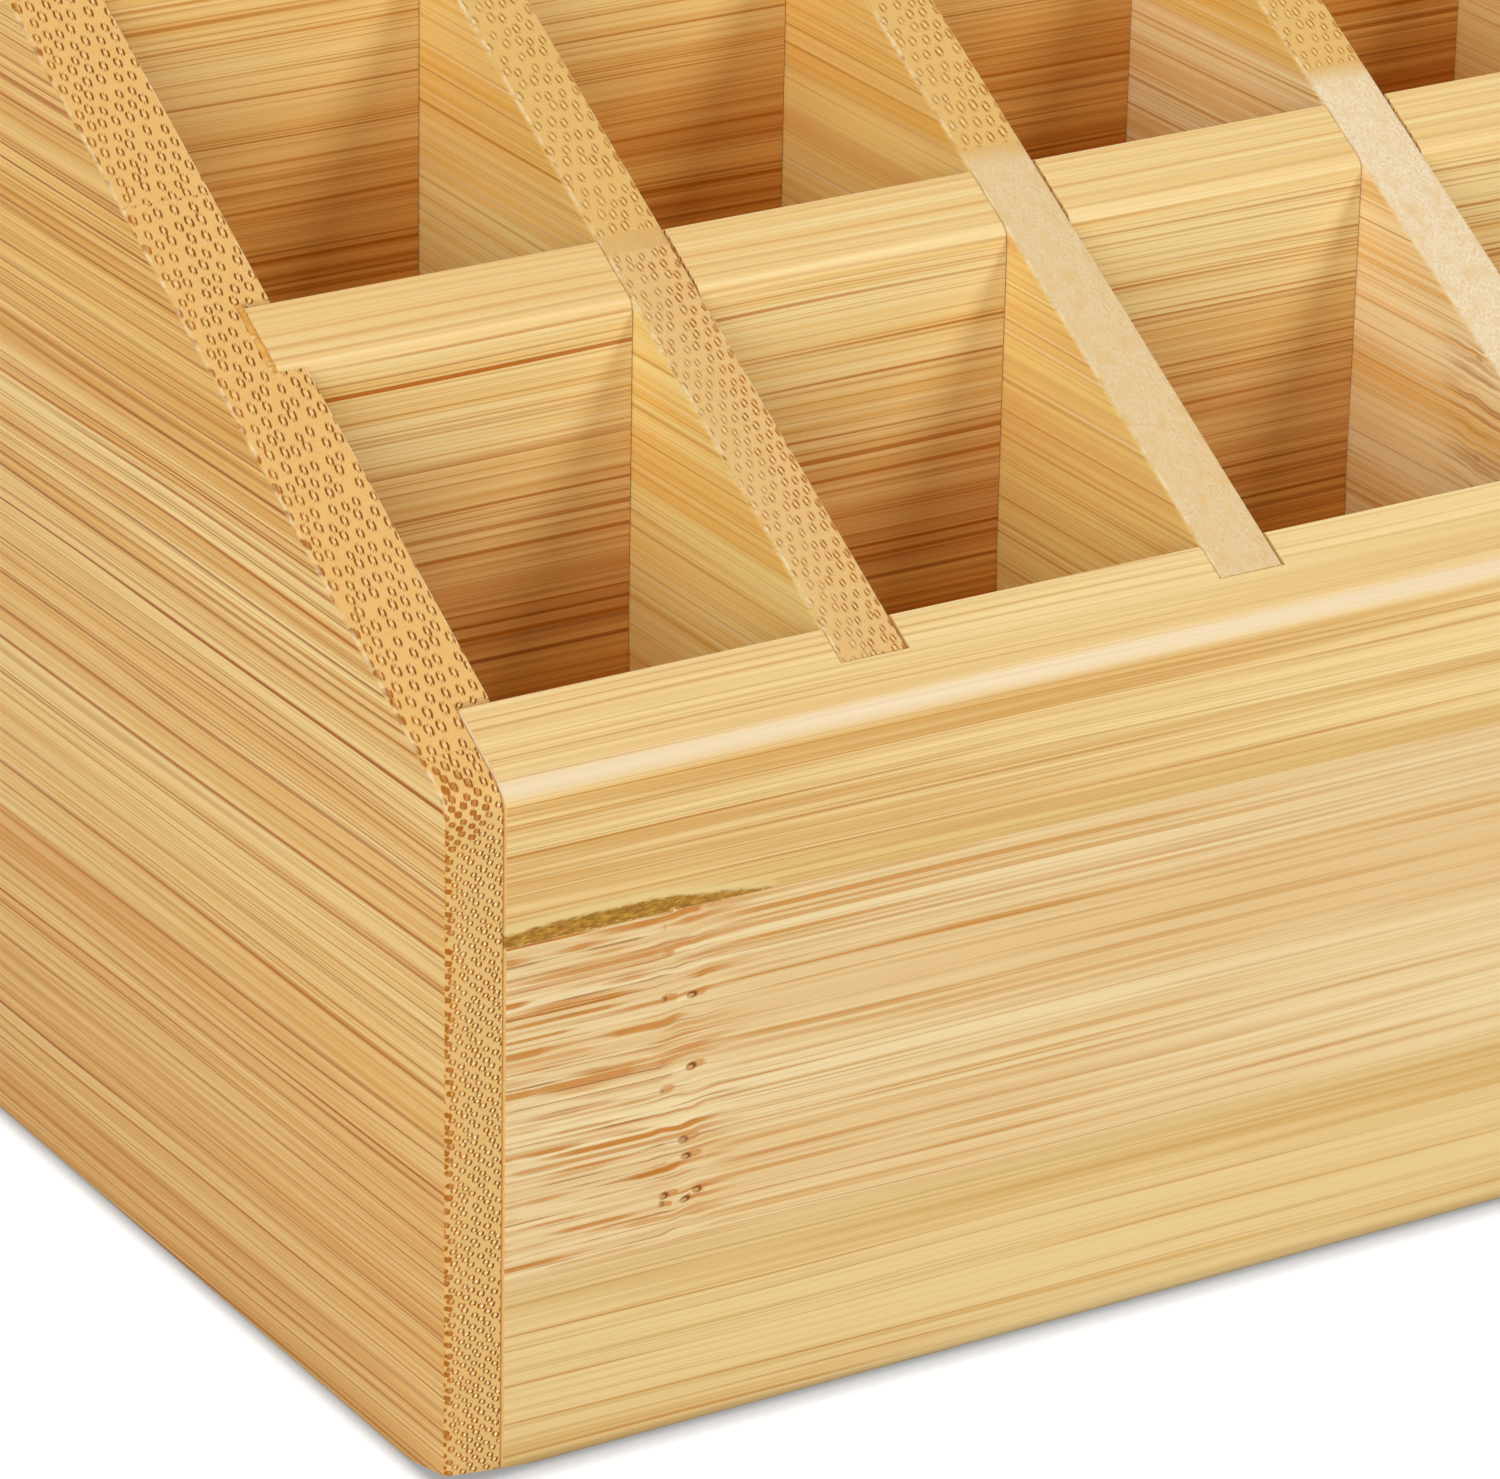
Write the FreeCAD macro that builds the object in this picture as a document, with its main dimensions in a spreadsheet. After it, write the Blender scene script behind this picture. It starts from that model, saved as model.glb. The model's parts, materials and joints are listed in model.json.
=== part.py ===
"""Sloped bamboo vanity organizer: an open box whose compartments are made by an egg-crate grid.

Two side panels hold a front panel, a back panel and the cross rails in housings.  Dividers run from front to
back, sit in notches of the front and back panels, and cross every rail in a halving joint.  A base board in a
groove closes the compartments below.  All top edges lie in one plane that rises towards the back.

Each board is drawn with X from the outer left face, Y from the front face and Z from the table.  Its
placement then puts the origin under the middle of the organizer.
"""

import FreeCAD, Part
import Sketcher
import math
import os
import re

# Counts of compartments from left to right and from front to back.
COLUMNS = 6
ROWS = 4
DIVIDERS = COLUMNS - 1
RAILS = ROWS - 1

# Driving dimensions in millimetres, and one angle in degrees, kept in the spreadsheet under these names.
DRIVING_SIZES = {
    "cell_width": 25.5,
    "cell_depth": 25.0,
    "front_height": 50.4,
    "slope_angle": 30.8,
    "side_thickness": 7.0,
    "front_thickness": 6.7,
    "back_thickness": 6.7,
    "divider_thickness": 5.3,
    "rail_thickness": 5.3,
    "base_thickness": 4.0,
    "base_rise": 3.0,
    "housing_depth": 2.8,
    "notch_depth": 2.9,
    "groove_depth": 2.5,
    "lap_depth": 26.0,
    "rail_end_gap": 0.6,
    "joint_clearance": 0.08,
    "lip_round": 2.5,
    "rail_round": 1.4,
    "bottom_round": 1.2,
    "side_easing": 0.35,
    "top_easing": 0.35,
    "end_easing": 0.3,
    "corner_rise": 1.3,
    "corner_width": 10.0,
    "corner_depth": 6.0,
}

# Lengths and places that several boards share, written in the driving dimensions.
COLUMN_PITCH = "(cell_width + divider_thickness)"
ROW_PITCH = "(cell_depth + rail_thickness)"
TOTAL_WIDTH = f"(2 * side_thickness + {COLUMNS} * cell_width + {DIVIDERS} * divider_thickness)"
TOTAL_DEPTH = f"(front_thickness + {ROWS} * cell_depth + {RAILS} * rail_thickness + back_thickness)"
TOTAL_HEIGHT = f"(front_height + {TOTAL_DEPTH} * tan(slope_angle))"
HOUSING_WALL = "(side_thickness - housing_depth)"
BASE_TOP = "(base_rise + base_thickness)"
BACK_PANEL_FRONT = f"({TOTAL_DEPTH} - back_thickness)"
FRONT_NOTCH_END = "(front_thickness - notch_depth)"
BACK_NOTCH_END = f"({BACK_PANEL_FRONT} + notch_depth)"
GROOVE_FRONT = "(front_thickness - groove_depth)"
GROOVE_BACK = f"({BACK_PANEL_FRONT} + groove_depth)"
GROOVE_LEFT = "(side_thickness - groove_depth)"
SLIDING_FIT = "2 * joint_clearance"

# Limit for telling edges apart, and the sketcher's numbers for a line's two ends and for its own origin.
TOLERANCE = 1e-5
START, END = 1, 2
SKETCH_ORIGIN = -1


def slope_height(depth):
    """Height of the sloping top plane over the table, at a depth behind the front face."""
    return f"(front_height + {depth} * tan(slope_angle))"


def rail_front(row):
    """Depth of the front face of the rail behind a row of compartments, counted from 0 at the front."""
    return f"(front_thickness + cell_depth + {row} * {ROW_PITCH})"


def divider_left(column):
    """Place of the left face of the divider right of a column of compartments, counted from 0 at the left."""
    return f"(side_thickness + cell_width + {column} * {COLUMN_PITCH})"


def lap_height(row):
    """Height at which a rail's slots end and the dividers' slots begin."""
    return f"({slope_height(rail_front(row))} - lap_depth)"


def make_size_sheet(document):
    """Write the driving dimensions to the spreadsheet, each in a cell under its own name."""
    sheet = document.addObject("Spreadsheet::Sheet", "Sizes")
    for row, (name, value) in enumerate(DRIVING_SIZES.items(), start=1):
        sheet.set(f"A{row}", name)
        sheet.set(f"B{row}", str(value))
        sheet.setAlias(f"B{row}", name)
    document.recompute()


def bind(target, field, formula):
    """Tie a property to a formula whose words are the names of driving dimensions."""
    names = "|".join(DRIVING_SIZES)
    target.setExpression(field, re.sub(rf"\b({names})\b", r"Sizes.\1", formula))


def origin_feature(body, role):
    """The plane or axis of a body's own origin that has a role such as YZ_Plane."""
    return next(item for item in body.Origin.OriginFeatures if item.Role == role)


def straight_along(edge, direction):
    """Whether an edge is a straight line in a direction, either way round."""
    if not isinstance(edge.Curve, Part.Line):
        return False
    return abs(abs(edge.Curve.Direction.dot(direction)) - 1) < TOLERANCE


def crosswise_edge(shape, at_front, at_top):
    """Name of the edge across the width at one corner of a board's outline."""
    depth_sign = 1 if at_front else -1
    height_sign = -1 if at_top else 1

    def corner_rank(item):
        middle = item[1].CenterOfMass
        return (round(depth_sign * middle.y, 4), height_sign * middle.z)

    across = FreeCAD.Vector(1, 0, 0)
    candidates = [item for item in enumerate(shape.Edges, start=1) if straight_along(item[1], across)]
    return [f"Edge{min(candidates, key=corner_rank)[0]}"]


def edges_in_face_plane(shape, place):
    """Names of the edges that lie in an upright plane across the width, at a place from the left."""
    names = []
    for number, edge in enumerate(shape.Edges, start=1):
        if all(abs(point.x - place) < TOLERANCE for point in edge.discretize(3)):
            names.append(f"Edge{number}")
    return names


def sloped_edges(shape, place):
    """Names of the straight edges in an upright plane that rise with the sloping top."""
    upright = FreeCAD.Vector(0, 0, 1)
    level = FreeCAD.Vector(0, 1, 0)
    names = []
    for name in edges_in_face_plane(shape, place):
        edge = shape.getElement(name)
        square = straight_along(edge, upright) or straight_along(edge, level)
        if isinstance(edge.Curve, Part.Line) and not square:
            names.append(name)
    return names


def upright_edges(shape, depth):
    """Names of the upright edges at a depth behind the front face."""
    upright = FreeCAD.Vector(0, 0, 1)
    names = []
    for number, edge in enumerate(shape.Edges, start=1):
        if straight_along(edge, upright) and abs(edge.CenterOfMass.y - depth) < TOLERANCE:
            names.append(f"Edge{number}")
    return names


def new_board(document, label):
    """An empty body under its own name, placed with the origin under the middle of the organizer."""
    body = document.addObject("PartDesign::Body", label)
    body.Label = label
    bind(body, "Placement.Base.x", f"-{TOTAL_WIDTH} / 2")
    bind(body, "Placement.Base.y", f"-{TOTAL_DEPTH} / 2")
    return body


def new_sketch(body, name, left, front, bottom):
    """An empty sketch in an upright plane across the width, with its own origin at a place in that plane."""
    sketch = body.newObject("Sketcher::SketchObject", name)
    sketch.AttachmentSupport = (origin_feature(body, "YZ_Plane"), [""])
    sketch.MapMode = "FlatFace"
    bind(sketch, "AttachmentOffset.Base.x", front)
    bind(sketch, "AttachmentOffset.Base.y", bottom)
    bind(sketch, "AttachmentOffset.Base.z", left)
    return sketch


def draw_outline(body, name, left, front, bottom, depth, height, slope=None):
    """Draw an outline in an upright plane across the width, level below, and level or sloped above."""
    sketch = new_sketch(body, name, left, front, bottom)
    first_depth = DRIVING_SIZES["cell_depth"]
    first_height = DRIVING_SIZES["front_height"]
    front_foot = FreeCAD.Vector(0, 0, 0)
    back_foot = FreeCAD.Vector(first_depth, 0, 0)
    back_head = FreeCAD.Vector(first_depth, first_height, 0)
    front_head = FreeCAD.Vector(0, first_height, 0)
    foot_line = sketch.addGeometry(Part.LineSegment(front_foot, back_foot), False)
    back_line = sketch.addGeometry(Part.LineSegment(back_foot, back_head), False)
    front_line = sketch.addGeometry(Part.LineSegment(front_foot, front_head), False)
    head_line = sketch.addGeometry(Part.LineSegment(front_head, back_head), False)

    for first, first_end, second, second_end in (
        (foot_line, START, SKETCH_ORIGIN, START),
        (front_line, START, foot_line, START),
        (back_line, START, foot_line, END),
        (head_line, START, front_line, END),
        (head_line, END, back_line, END),
    ):
        sketch.addConstraint(Sketcher.Constraint("Coincident", first, first_end, second, second_end))
    sketch.addConstraint(Sketcher.Constraint("Horizontal", foot_line))
    sketch.addConstraint(Sketcher.Constraint("Vertical", front_line))
    sketch.addConstraint(Sketcher.Constraint("Vertical", back_line))
    across = sketch.addConstraint(
        Sketcher.Constraint("DistanceX", foot_line, START, foot_line, END, first_depth))
    upwards = sketch.addConstraint(
        Sketcher.Constraint("DistanceY", front_line, START, front_line, END, first_height))
    bind(sketch, f"Constraints[{across}]", depth)
    bind(sketch, f"Constraints[{upwards}]", height)
    if slope is None:
        sketch.addConstraint(Sketcher.Constraint("Horizontal", head_line))
    else:
        first_slope = math.radians(DRIVING_SIZES["slope_angle"])
        rising = sketch.addConstraint(Sketcher.Constraint("Angle", head_line, first_slope))
        bind(sketch, f"Constraints[{rising}]", slope)
    return sketch


def saw_board(body, left, width, front, depth, bottom):
    """Make a board of a given width whose top follows the sloping plane."""
    height = f"{slope_height(front)} - {bottom}"
    outline = draw_outline(body, "Outline", left, front, bottom, depth, height, "slope_angle")
    board = body.newObject("PartDesign::Pad", "Board")
    board.Profile = outline
    bind(board, "Length", width)
    body.Document.recompute()


def round_over(body, name, radius, edge_names):
    """Round edges of the board as it is so far."""
    base = body.Tip
    fillet = body.newObject("PartDesign::Fillet", name)
    fillet.Base = (base, edge_names)
    bind(fillet, "Radius", radius)
    body.Document.recompute()


def cut_box(body, name, left, width, front, depth, bottom, height):
    """Cut a straight-sided housing, notch, slot or groove, and make sure that it took wood away."""
    volume_before = body.Shape.Volume
    mouth = draw_outline(body, f"{name}Mouth", left, front, bottom, depth, height)
    pocket = body.newObject("PartDesign::Pocket", name)
    pocket.Profile = mouth
    pocket.Reversed = True
    bind(pocket, "Length", width)
    body.Document.recompute()
    if body.Shape.Volume > volume_before - TOLERANCE:
        raise RuntimeError(f"{body.Label}: {name} cut nothing")
    return pocket


def repeat(body, feature, axis_role, pitch, count):
    """Repeat a cut at a steady pitch along one axis."""
    if count < 2:
        return
    pattern = body.newObject("PartDesign::LinearPattern", f"{feature.Name}Row")
    pattern.Originals = [feature]
    pattern.Direction = (origin_feature(body, axis_role), [""])
    pattern.Occurrences = count
    bind(pattern, "Length", f"{count - 1} * {pitch}")
    body.Tip = pattern
    body.Document.recompute()


def draw_wedge_end(body, name, left, at_front, share):
    """Draw the right-angled triangle that a corner wedge leaves in an upright plane across the width.

    The share is 1 where the wedge is as high as corner_rise, and 0 where it has run out.  The triangle
    reaches corner_rise out of the wood, past the board's foot and its front or back face.
    """
    if at_front:
        sketch = new_sketch(body, name, left, "-corner_rise", "-corner_rise")
        towards_middle = 1
    else:
        sketch = new_sketch(body, name, left, f"{TOTAL_DEPTH} + corner_rise", "-corner_rise")
        towards_middle = -1
    first_depth = DRIVING_SIZES["corner_depth"]
    first_rise = DRIVING_SIZES["corner_rise"]
    corner = FreeCAD.Vector(0, 0, 0)
    tip = FreeCAD.Vector(towards_middle * first_depth, 0, 0)
    head = FreeCAD.Vector(0, first_rise, 0)
    foot_line = sketch.addGeometry(Part.LineSegment(corner, tip), False)
    long_line = sketch.addGeometry(Part.LineSegment(tip, head), False)
    face_line = sketch.addGeometry(Part.LineSegment(head, corner), False)
    for first, first_end, second, second_end in (
        (foot_line, START, SKETCH_ORIGIN, START),
        (foot_line, END, long_line, START),
        (long_line, END, face_line, START),
        (face_line, END, foot_line, START),
    ):
        sketch.addConstraint(Sketcher.Constraint("Coincident", first, first_end, second, second_end))
    sketch.addConstraint(Sketcher.Constraint("Horizontal", foot_line))
    sketch.addConstraint(Sketcher.Constraint("Vertical", face_line))
    foot_ends = (START, END) if at_front else (END, START)
    across = sketch.addConstraint(
        Sketcher.Constraint("DistanceX", foot_line, foot_ends[0], foot_line, foot_ends[1], first_depth))
    upwards = sketch.addConstraint(
        Sketcher.Constraint("DistanceY", face_line, END, face_line, START, first_rise))
    bind(sketch, f"Constraints[{across}]", f"corner_depth * ({share} + 1) + corner_rise")
    bind(sketch, f"Constraints[{upwards}]",
         f"corner_rise * ({share} + corner_rise / corner_depth) + corner_rise")
    return sketch


def sand_corner(body, name, at_left, at_front):
    """Take a flat wedge off the foot of the organizer at one of its corners, where it was sanded off."""
    volume_before = body.Shape.Volume
    if at_left:
        outside, inside = "-corner_rise", "corner_width"
    else:
        outside, inside = f"{TOTAL_WIDTH} + corner_rise", f"{TOTAL_WIDTH} - corner_width"
    thick_end = draw_wedge_end(body, f"{name}Thick", outside, at_front, "(1 + corner_rise / corner_width)")
    thin_end = draw_wedge_end(body, f"{name}Thin", inside, at_front, "0")
    wedge = body.newObject("PartDesign::SubtractiveLoft", name)
    wedge.Profile = thick_end
    wedge.Sections = [thin_end]
    wedge.Ruled = True
    body.Document.recompute()
    if body.Shape.Volume > volume_before - TOLERANCE:
        raise RuntimeError(f"{body.Label}: {name} cut nothing")


def make_left_side_panel(document):
    """The left side panel, rounded at its corners, with housings for the cross boards and the base groove."""
    body = new_board(document, "left_side_panel")
    saw_board(body, "0", "side_thickness", "0", TOTAL_DEPTH, "0")
    round_over(body, "LipCorner", "lip_round", crosswise_edge(body.Tip.Shape, at_front=True, at_top=True))
    round_over(body, "FrontFoot", "bottom_round", crosswise_edge(body.Tip.Shape, at_front=True, at_top=False))
    round_over(body, "BackFoot", "bottom_round", crosswise_edge(body.Tip.Shape, at_front=False, at_top=False))
    round_over(body, "BackHead", "bottom_round", crosswise_edge(body.Tip.Shape, at_front=False, at_top=True))
    outer_face = body.Tip.Shape.BoundBox.XMin
    inner_face = body.Tip.Shape.BoundBox.XMax
    round_over(body, "OuterEdges", "side_easing", edges_in_face_plane(body.Tip.Shape, outer_face))
    round_over(body, "InnerTopEdge", "top_easing", sloped_edges(body.Tip.Shape, inner_face))

    reach = f"housing_depth + {SLIDING_FIT}"
    cut_box(body, "FrontRebate", HOUSING_WALL, reach,
            "-joint_clearance", f"front_thickness + {SLIDING_FIT}", "-joint_clearance", TOTAL_HEIGHT)
    cut_box(body, "BackRebate", HOUSING_WALL, reach,
            f"{BACK_PANEL_FRONT} - joint_clearance", f"back_thickness + {SLIDING_FIT}",
            "-joint_clearance", f"{TOTAL_HEIGHT} + {SLIDING_FIT}")
    housing = cut_box(body, "RailHousing", HOUSING_WALL, reach,
                      f"{rail_front(0)} - joint_clearance", f"rail_thickness + {SLIDING_FIT}",
                      "base_rise", TOTAL_HEIGHT)
    repeat(body, housing, "Y_Axis", ROW_PITCH, RAILS)
    cut_box(body, "BaseGroove", GROOVE_LEFT, f"groove_depth + {SLIDING_FIT}",
            GROOVE_FRONT, f"{GROOVE_BACK} - {GROOVE_FRONT}",
            "base_rise", "base_thickness + joint_clearance")
    sand_corner(body, "FrontCorner", at_left=True, at_front=True)
    sand_corner(body, "BackCorner", at_left=True, at_front=False)
    return body


def make_right_side_panel(document, left_side_panel):
    """The right side panel, the mirror image of the left one."""
    panel = document.addObject("Part::Mirroring", "right_side_panel")
    panel.Label = "right_side_panel"
    panel.Source = left_side_panel
    panel.Normal = FreeCAD.Vector(1, 0, 0)
    document.recompute()
    return panel


def make_cross_board(document, label, front, thickness, bottom, end_gap):
    """A board from side panel to side panel, with its ends in their housings."""
    body = new_board(document, label)
    left = f"({HOUSING_WALL} + {end_gap})"
    saw_board(body, left, f"{TOTAL_WIDTH} - 2 * {left}", front, thickness, bottom)
    return body


def notch_for_dividers(body, front, depth, bottom):
    """Cut the first divider's slot or notch in a cross board, open at the top, and repeat it for the rest."""
    slot = cut_box(body, "DividerSlot",
                   f"{divider_left(0)} - joint_clearance", f"divider_thickness + {SLIDING_FIT}",
                   front, depth, bottom, TOTAL_HEIGHT)
    repeat(body, slot, "X_Axis", COLUMN_PITCH, DIVIDERS)


def make_front_panel(document):
    """The front panel, with a rounded lip, notches behind for the divider ends, and the base groove."""
    body = make_cross_board(document, "front_panel", "0", "front_thickness", "0", "joint_clearance")
    round_over(body, "Lip", "lip_round", crosswise_edge(body.Tip.Shape, at_front=True, at_top=True))
    round_over(body, "FrontFoot", "bottom_round", crosswise_edge(body.Tip.Shape, at_front=True, at_top=False))
    round_over(body, "BackEdge", "top_easing", crosswise_edge(body.Tip.Shape, at_front=False, at_top=True))
    round_over(body, "EndEdges", "end_easing", upright_edges(body.Tip.Shape, body.Tip.Shape.BoundBox.YMin))
    notch_for_dividers(body, FRONT_NOTCH_END, f"notch_depth + {SLIDING_FIT}", "base_rise")
    cut_box(body, "BaseGroove", "0", TOTAL_WIDTH, GROOVE_FRONT, f"groove_depth + {SLIDING_FIT}",
            "base_rise", "base_thickness + joint_clearance")
    sand_corner(body, "LeftCorner", at_left=True, at_front=True)
    sand_corner(body, "RightCorner", at_left=False, at_front=True)
    return body


def make_back_panel(document):
    """The back panel, the tallest board, with notches in front for the divider ends, and the base groove."""
    body = make_cross_board(
        document, "back_panel", BACK_PANEL_FRONT, "back_thickness", "0", "joint_clearance")
    round_over(body, "BackFoot", "bottom_round", crosswise_edge(body.Tip.Shape, at_front=False, at_top=False))
    round_over(body, "BackHead", "bottom_round", crosswise_edge(body.Tip.Shape, at_front=False, at_top=True))
    round_over(body, "EndEdges", "end_easing", upright_edges(body.Tip.Shape, body.Tip.Shape.BoundBox.YMax))
    fit_front = f"{BACK_PANEL_FRONT} - {SLIDING_FIT}"
    notch_for_dividers(body, fit_front, f"notch_depth + {SLIDING_FIT}", "base_rise")
    cut_box(body, "BaseGroove", "0", TOTAL_WIDTH, fit_front, f"groove_depth + {SLIDING_FIT}",
            "base_rise", "base_thickness + joint_clearance")
    sand_corner(body, "LeftCorner", at_left=True, at_front=False)
    sand_corner(body, "RightCorner", at_left=False, at_front=False)
    return body


def make_cross_rail(document, row):
    """A rail between two rows, with a rounded front edge and a slot open at the top for each divider."""
    label = f"cross_rail_{row + 1}"
    body = make_cross_board(document, label, rail_front(row), "rail_thickness", BASE_TOP, "rail_end_gap")
    round_over(body, "FrontEdge", "rail_round", crosswise_edge(body.Tip.Shape, at_front=True, at_top=True))
    round_over(body, "BackEdge", "top_easing", crosswise_edge(body.Tip.Shape, at_front=False, at_top=True))
    notch_for_dividers(body, f"{rail_front(row)} - joint_clearance", f"rail_thickness + {SLIDING_FIT}",
                       lap_height(row))
    return body


def make_divider(document, column):
    """A divider between two columns, with a slot open at the bottom for each rail."""
    body = new_board(document, f"divider_{column + 1}")
    front = f"({FRONT_NOTCH_END} + joint_clearance)"
    back = f"({BACK_NOTCH_END} - joint_clearance)"
    left = divider_left(column)
    saw_board(body, left, "divider_thickness", front, f"{back} - {front}", BASE_TOP)
    for name, face in (("LeftTopEdge", "XMin"), ("RightTopEdge", "XMax")):
        shape = body.Tip.Shape
        round_over(body, name, "top_easing", sloped_edges(shape, getattr(shape.BoundBox, face)))
    for row in range(RAILS):
        cut_box(body, f"RailSlot{row + 1}",
                f"{left} - joint_clearance", f"divider_thickness + {SLIDING_FIT}",
                f"{rail_front(row)} - joint_clearance", f"rail_thickness + {SLIDING_FIT}",
                "base_rise", f"{lap_height(row)} + joint_clearance - base_rise")
    return body


def make_base_board(document):
    """The flat base board, held on all four sides in the groove of the outer panels."""
    board = document.addObject("Part::Box", "base_board")
    board.Label = "base_board"
    left = f"({GROOVE_LEFT} + joint_clearance)"
    front = f"({GROOVE_FRONT} + joint_clearance)"
    back = f"({GROOVE_BACK} - joint_clearance)"
    bind(board, "Length", f"{TOTAL_WIDTH} - 2 * {left}")
    bind(board, "Width", f"{back} - {front}")
    bind(board, "Height", "base_thickness")
    bind(board, "Placement.Base.x", f"{left} - {TOTAL_WIDTH} / 2")
    bind(board, "Placement.Base.y", f"{front} - {TOTAL_DEPTH} / 2")
    bind(board, "Placement.Base.z", "base_rise")
    document.recompute()
    return board


def check_and_write(document, boards):
    """Stop on any failed feature or faulty solid, then write each board to its own file."""
    for item in document.Objects:
        if {"Invalid", "Error"} & set(item.State):
            raise RuntimeError(f"{item.Label} failed: {item.State}")
    for board in boards:
        shape = board.Shape
        if shape.isNull() or not shape.isValid() or len(shape.Solids) != 1:
            raise RuntimeError(f"{board.Label} is not one sound solid")
    os.makedirs("parts", exist_ok=True)
    for board in boards:
        board.Shape.exportStep(os.path.join("parts", f"{board.Label}.step"))
        print(f"{board.Label}: {board.Shape.Volume / 1000:.2f} cm3")


def main():
    """Build every board of the organizer and write the files."""
    document = FreeCAD.newDocument("vanity_organizer")
    make_size_sheet(document)
    left_side_panel = make_left_side_panel(document)
    boards = [
        left_side_panel,
        make_right_side_panel(document, left_side_panel),
        make_front_panel(document),
        make_back_panel(document),
        make_base_board(document),
    ]
    boards += [make_cross_rail(document, row) for row in range(RAILS)]
    boards += [make_divider(document, column) for column in range(DIVIDERS)]
    document.recompute()
    check_and_write(document, boards)


main()
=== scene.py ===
"""Looks of a sloped bamboo vanity organizer: bamboo in every board, glue in the joints, a white table."""

import json
import logging
import math
from dataclasses import dataclass
from enum import Enum
from typing import Dict, Optional, Tuple, Union

import bpy
from mathutils import Matrix, Vector

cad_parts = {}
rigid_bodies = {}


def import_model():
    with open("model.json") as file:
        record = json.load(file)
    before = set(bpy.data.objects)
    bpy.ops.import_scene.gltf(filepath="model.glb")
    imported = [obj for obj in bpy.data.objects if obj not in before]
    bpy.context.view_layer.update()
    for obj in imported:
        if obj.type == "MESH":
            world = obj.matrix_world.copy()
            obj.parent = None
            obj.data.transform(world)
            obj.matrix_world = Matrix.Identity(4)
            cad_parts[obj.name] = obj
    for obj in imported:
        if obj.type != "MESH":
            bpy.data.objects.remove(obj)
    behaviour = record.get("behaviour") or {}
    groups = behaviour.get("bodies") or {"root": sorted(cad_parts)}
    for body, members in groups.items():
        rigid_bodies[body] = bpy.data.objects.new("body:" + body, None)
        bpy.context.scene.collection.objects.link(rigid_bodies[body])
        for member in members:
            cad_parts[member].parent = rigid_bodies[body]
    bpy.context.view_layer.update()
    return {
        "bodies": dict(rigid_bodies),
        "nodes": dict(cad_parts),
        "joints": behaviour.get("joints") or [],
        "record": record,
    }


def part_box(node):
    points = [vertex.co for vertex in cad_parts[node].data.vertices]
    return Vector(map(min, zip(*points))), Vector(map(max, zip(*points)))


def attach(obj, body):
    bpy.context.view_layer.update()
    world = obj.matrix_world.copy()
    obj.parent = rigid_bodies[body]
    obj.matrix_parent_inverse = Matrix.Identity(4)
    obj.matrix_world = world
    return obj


LOG = logging.getLogger("organizer")
MM = 0.001
MM_PER_METRE = 1000.0

Rgba = Tuple[float, float, float, float]
Point = Tuple[float, float, float]
Span = Tuple[float, float]
Socket = bpy.types.NodeSocket
Value = Union[Socket, float, Rgba, Point]

# The range of a mask, from nothing to all, and the same the other way round for one that fades.
MASK: Span = (0.0, 1.0)
FADE: Span = (1.0, 0.0)
WHITE: Rgba = (1.0, 1.0, 1.0, 1.0)

# Heights below and above every board.
BELOW_ALL_MM = -10.0
ABOVE_ALL_MM = 200.0


def linear_colour(hex_code: str) -> Rgba:
    """Turn an sRGB hex colour into linear light, by the curve of the sRGB standard.

    Args:
        hex_code: Six hex digits, such as "e3c188".

    Returns:
        Red, green and blue in linear light, and an alpha of 1.
    """
    channels = [int(hex_code[place:place + 2], 16) / 255 for place in (0, 2, 4)]
    light = [c / 12.92 if c <= 0.04045 else ((c + 0.055) / 1.055) ** 2.4 for c in channels]
    return (light[0], light[1], light[2], 1.0)


class Grain(Enum):
    """The way that the fibres of a board run."""

    ACROSS = 0
    FRONT_TO_BACK = 1


class Skin(Enum):
    """The face of a board, along its thickness, that was nearest to the outside of the cane."""

    LOW = 1
    HIGH = -1


@dataclass(frozen=True)
class Strip:
    """One cane strip of a board, from its lower glue joint up to the next strip's.

    Attributes:
        start_mm: Height of its lower glue joint.
        pale: Colour of its soft tissue along the grain.
        gold: Colour of its tanned bands.
        end: Colour of its soft tissue on a sloped cut.
        depth: How dark its bundles of fibre are next to the skin, from 0 to 1.
        inner: How dark they are further in, as a share of that.
        bundle_mm: Distance between bundles, in from the skin.
        row_mm: Distance between their rows.
        ring_mm: Radius of a bundle's ring of fibre caps.
        blend_mm: How softly it starts: a glue joint is sharp, a change of tan is not.
    """

    start_mm: float = BELOW_ALL_MM
    pale: str = "e8c88e"
    gold: str = "d8a85f"
    end: str = "e1b36d"
    depth: float = 1.0
    inner: float = 1.0
    bundle_mm: float = 0.95
    row_mm: float = 0.66
    ring_mm: float = 0.215
    blend_mm: float = 0.04


@dataclass(frozen=True)
class Lines:
    """Thin lines along the grain, where bundles of fibre lie open on a face.

    Attributes:
        colour: Their colour.
        spacing_mm: Mean distance between them.
        thick_mm: Thickness of the thickest.
        length_mm: How far one runs before it swells or fades.
        share: How strongly the strongest show.
        low_mm: Where they start, upwards.
        high_mm: Where they end.
        floor: What is left of a line where it fades, from 0 to 1.
    """

    colour: str
    spacing_mm: float
    thick_mm: float
    length_mm: float
    share: float
    low_mm: float = BELOW_ALL_MM
    high_mm: float = ABOVE_ALL_MM
    floor: float = 0.35


@dataclass(frozen=True)
class Knot:
    """A node of the cane: a band across one strip where the fibres swerve and small pits open.

    Attributes:
        place_mm: Where the band crosses the board, along the grain.
        low_mm: Height of the strip's lower joint.
        high_mm: Height of the strip's upper joint.
        reach_mm: Half the width of the band.
        broken_mm: How far before it the fibres are broken into short strokes.
        share: How strongly those strokes and the pits show.
    """

    place_mm: float
    low_mm: float
    high_mm: float
    reach_mm: float = 3.2
    broken_mm: float = 26.0
    share: float = 1.0


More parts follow.
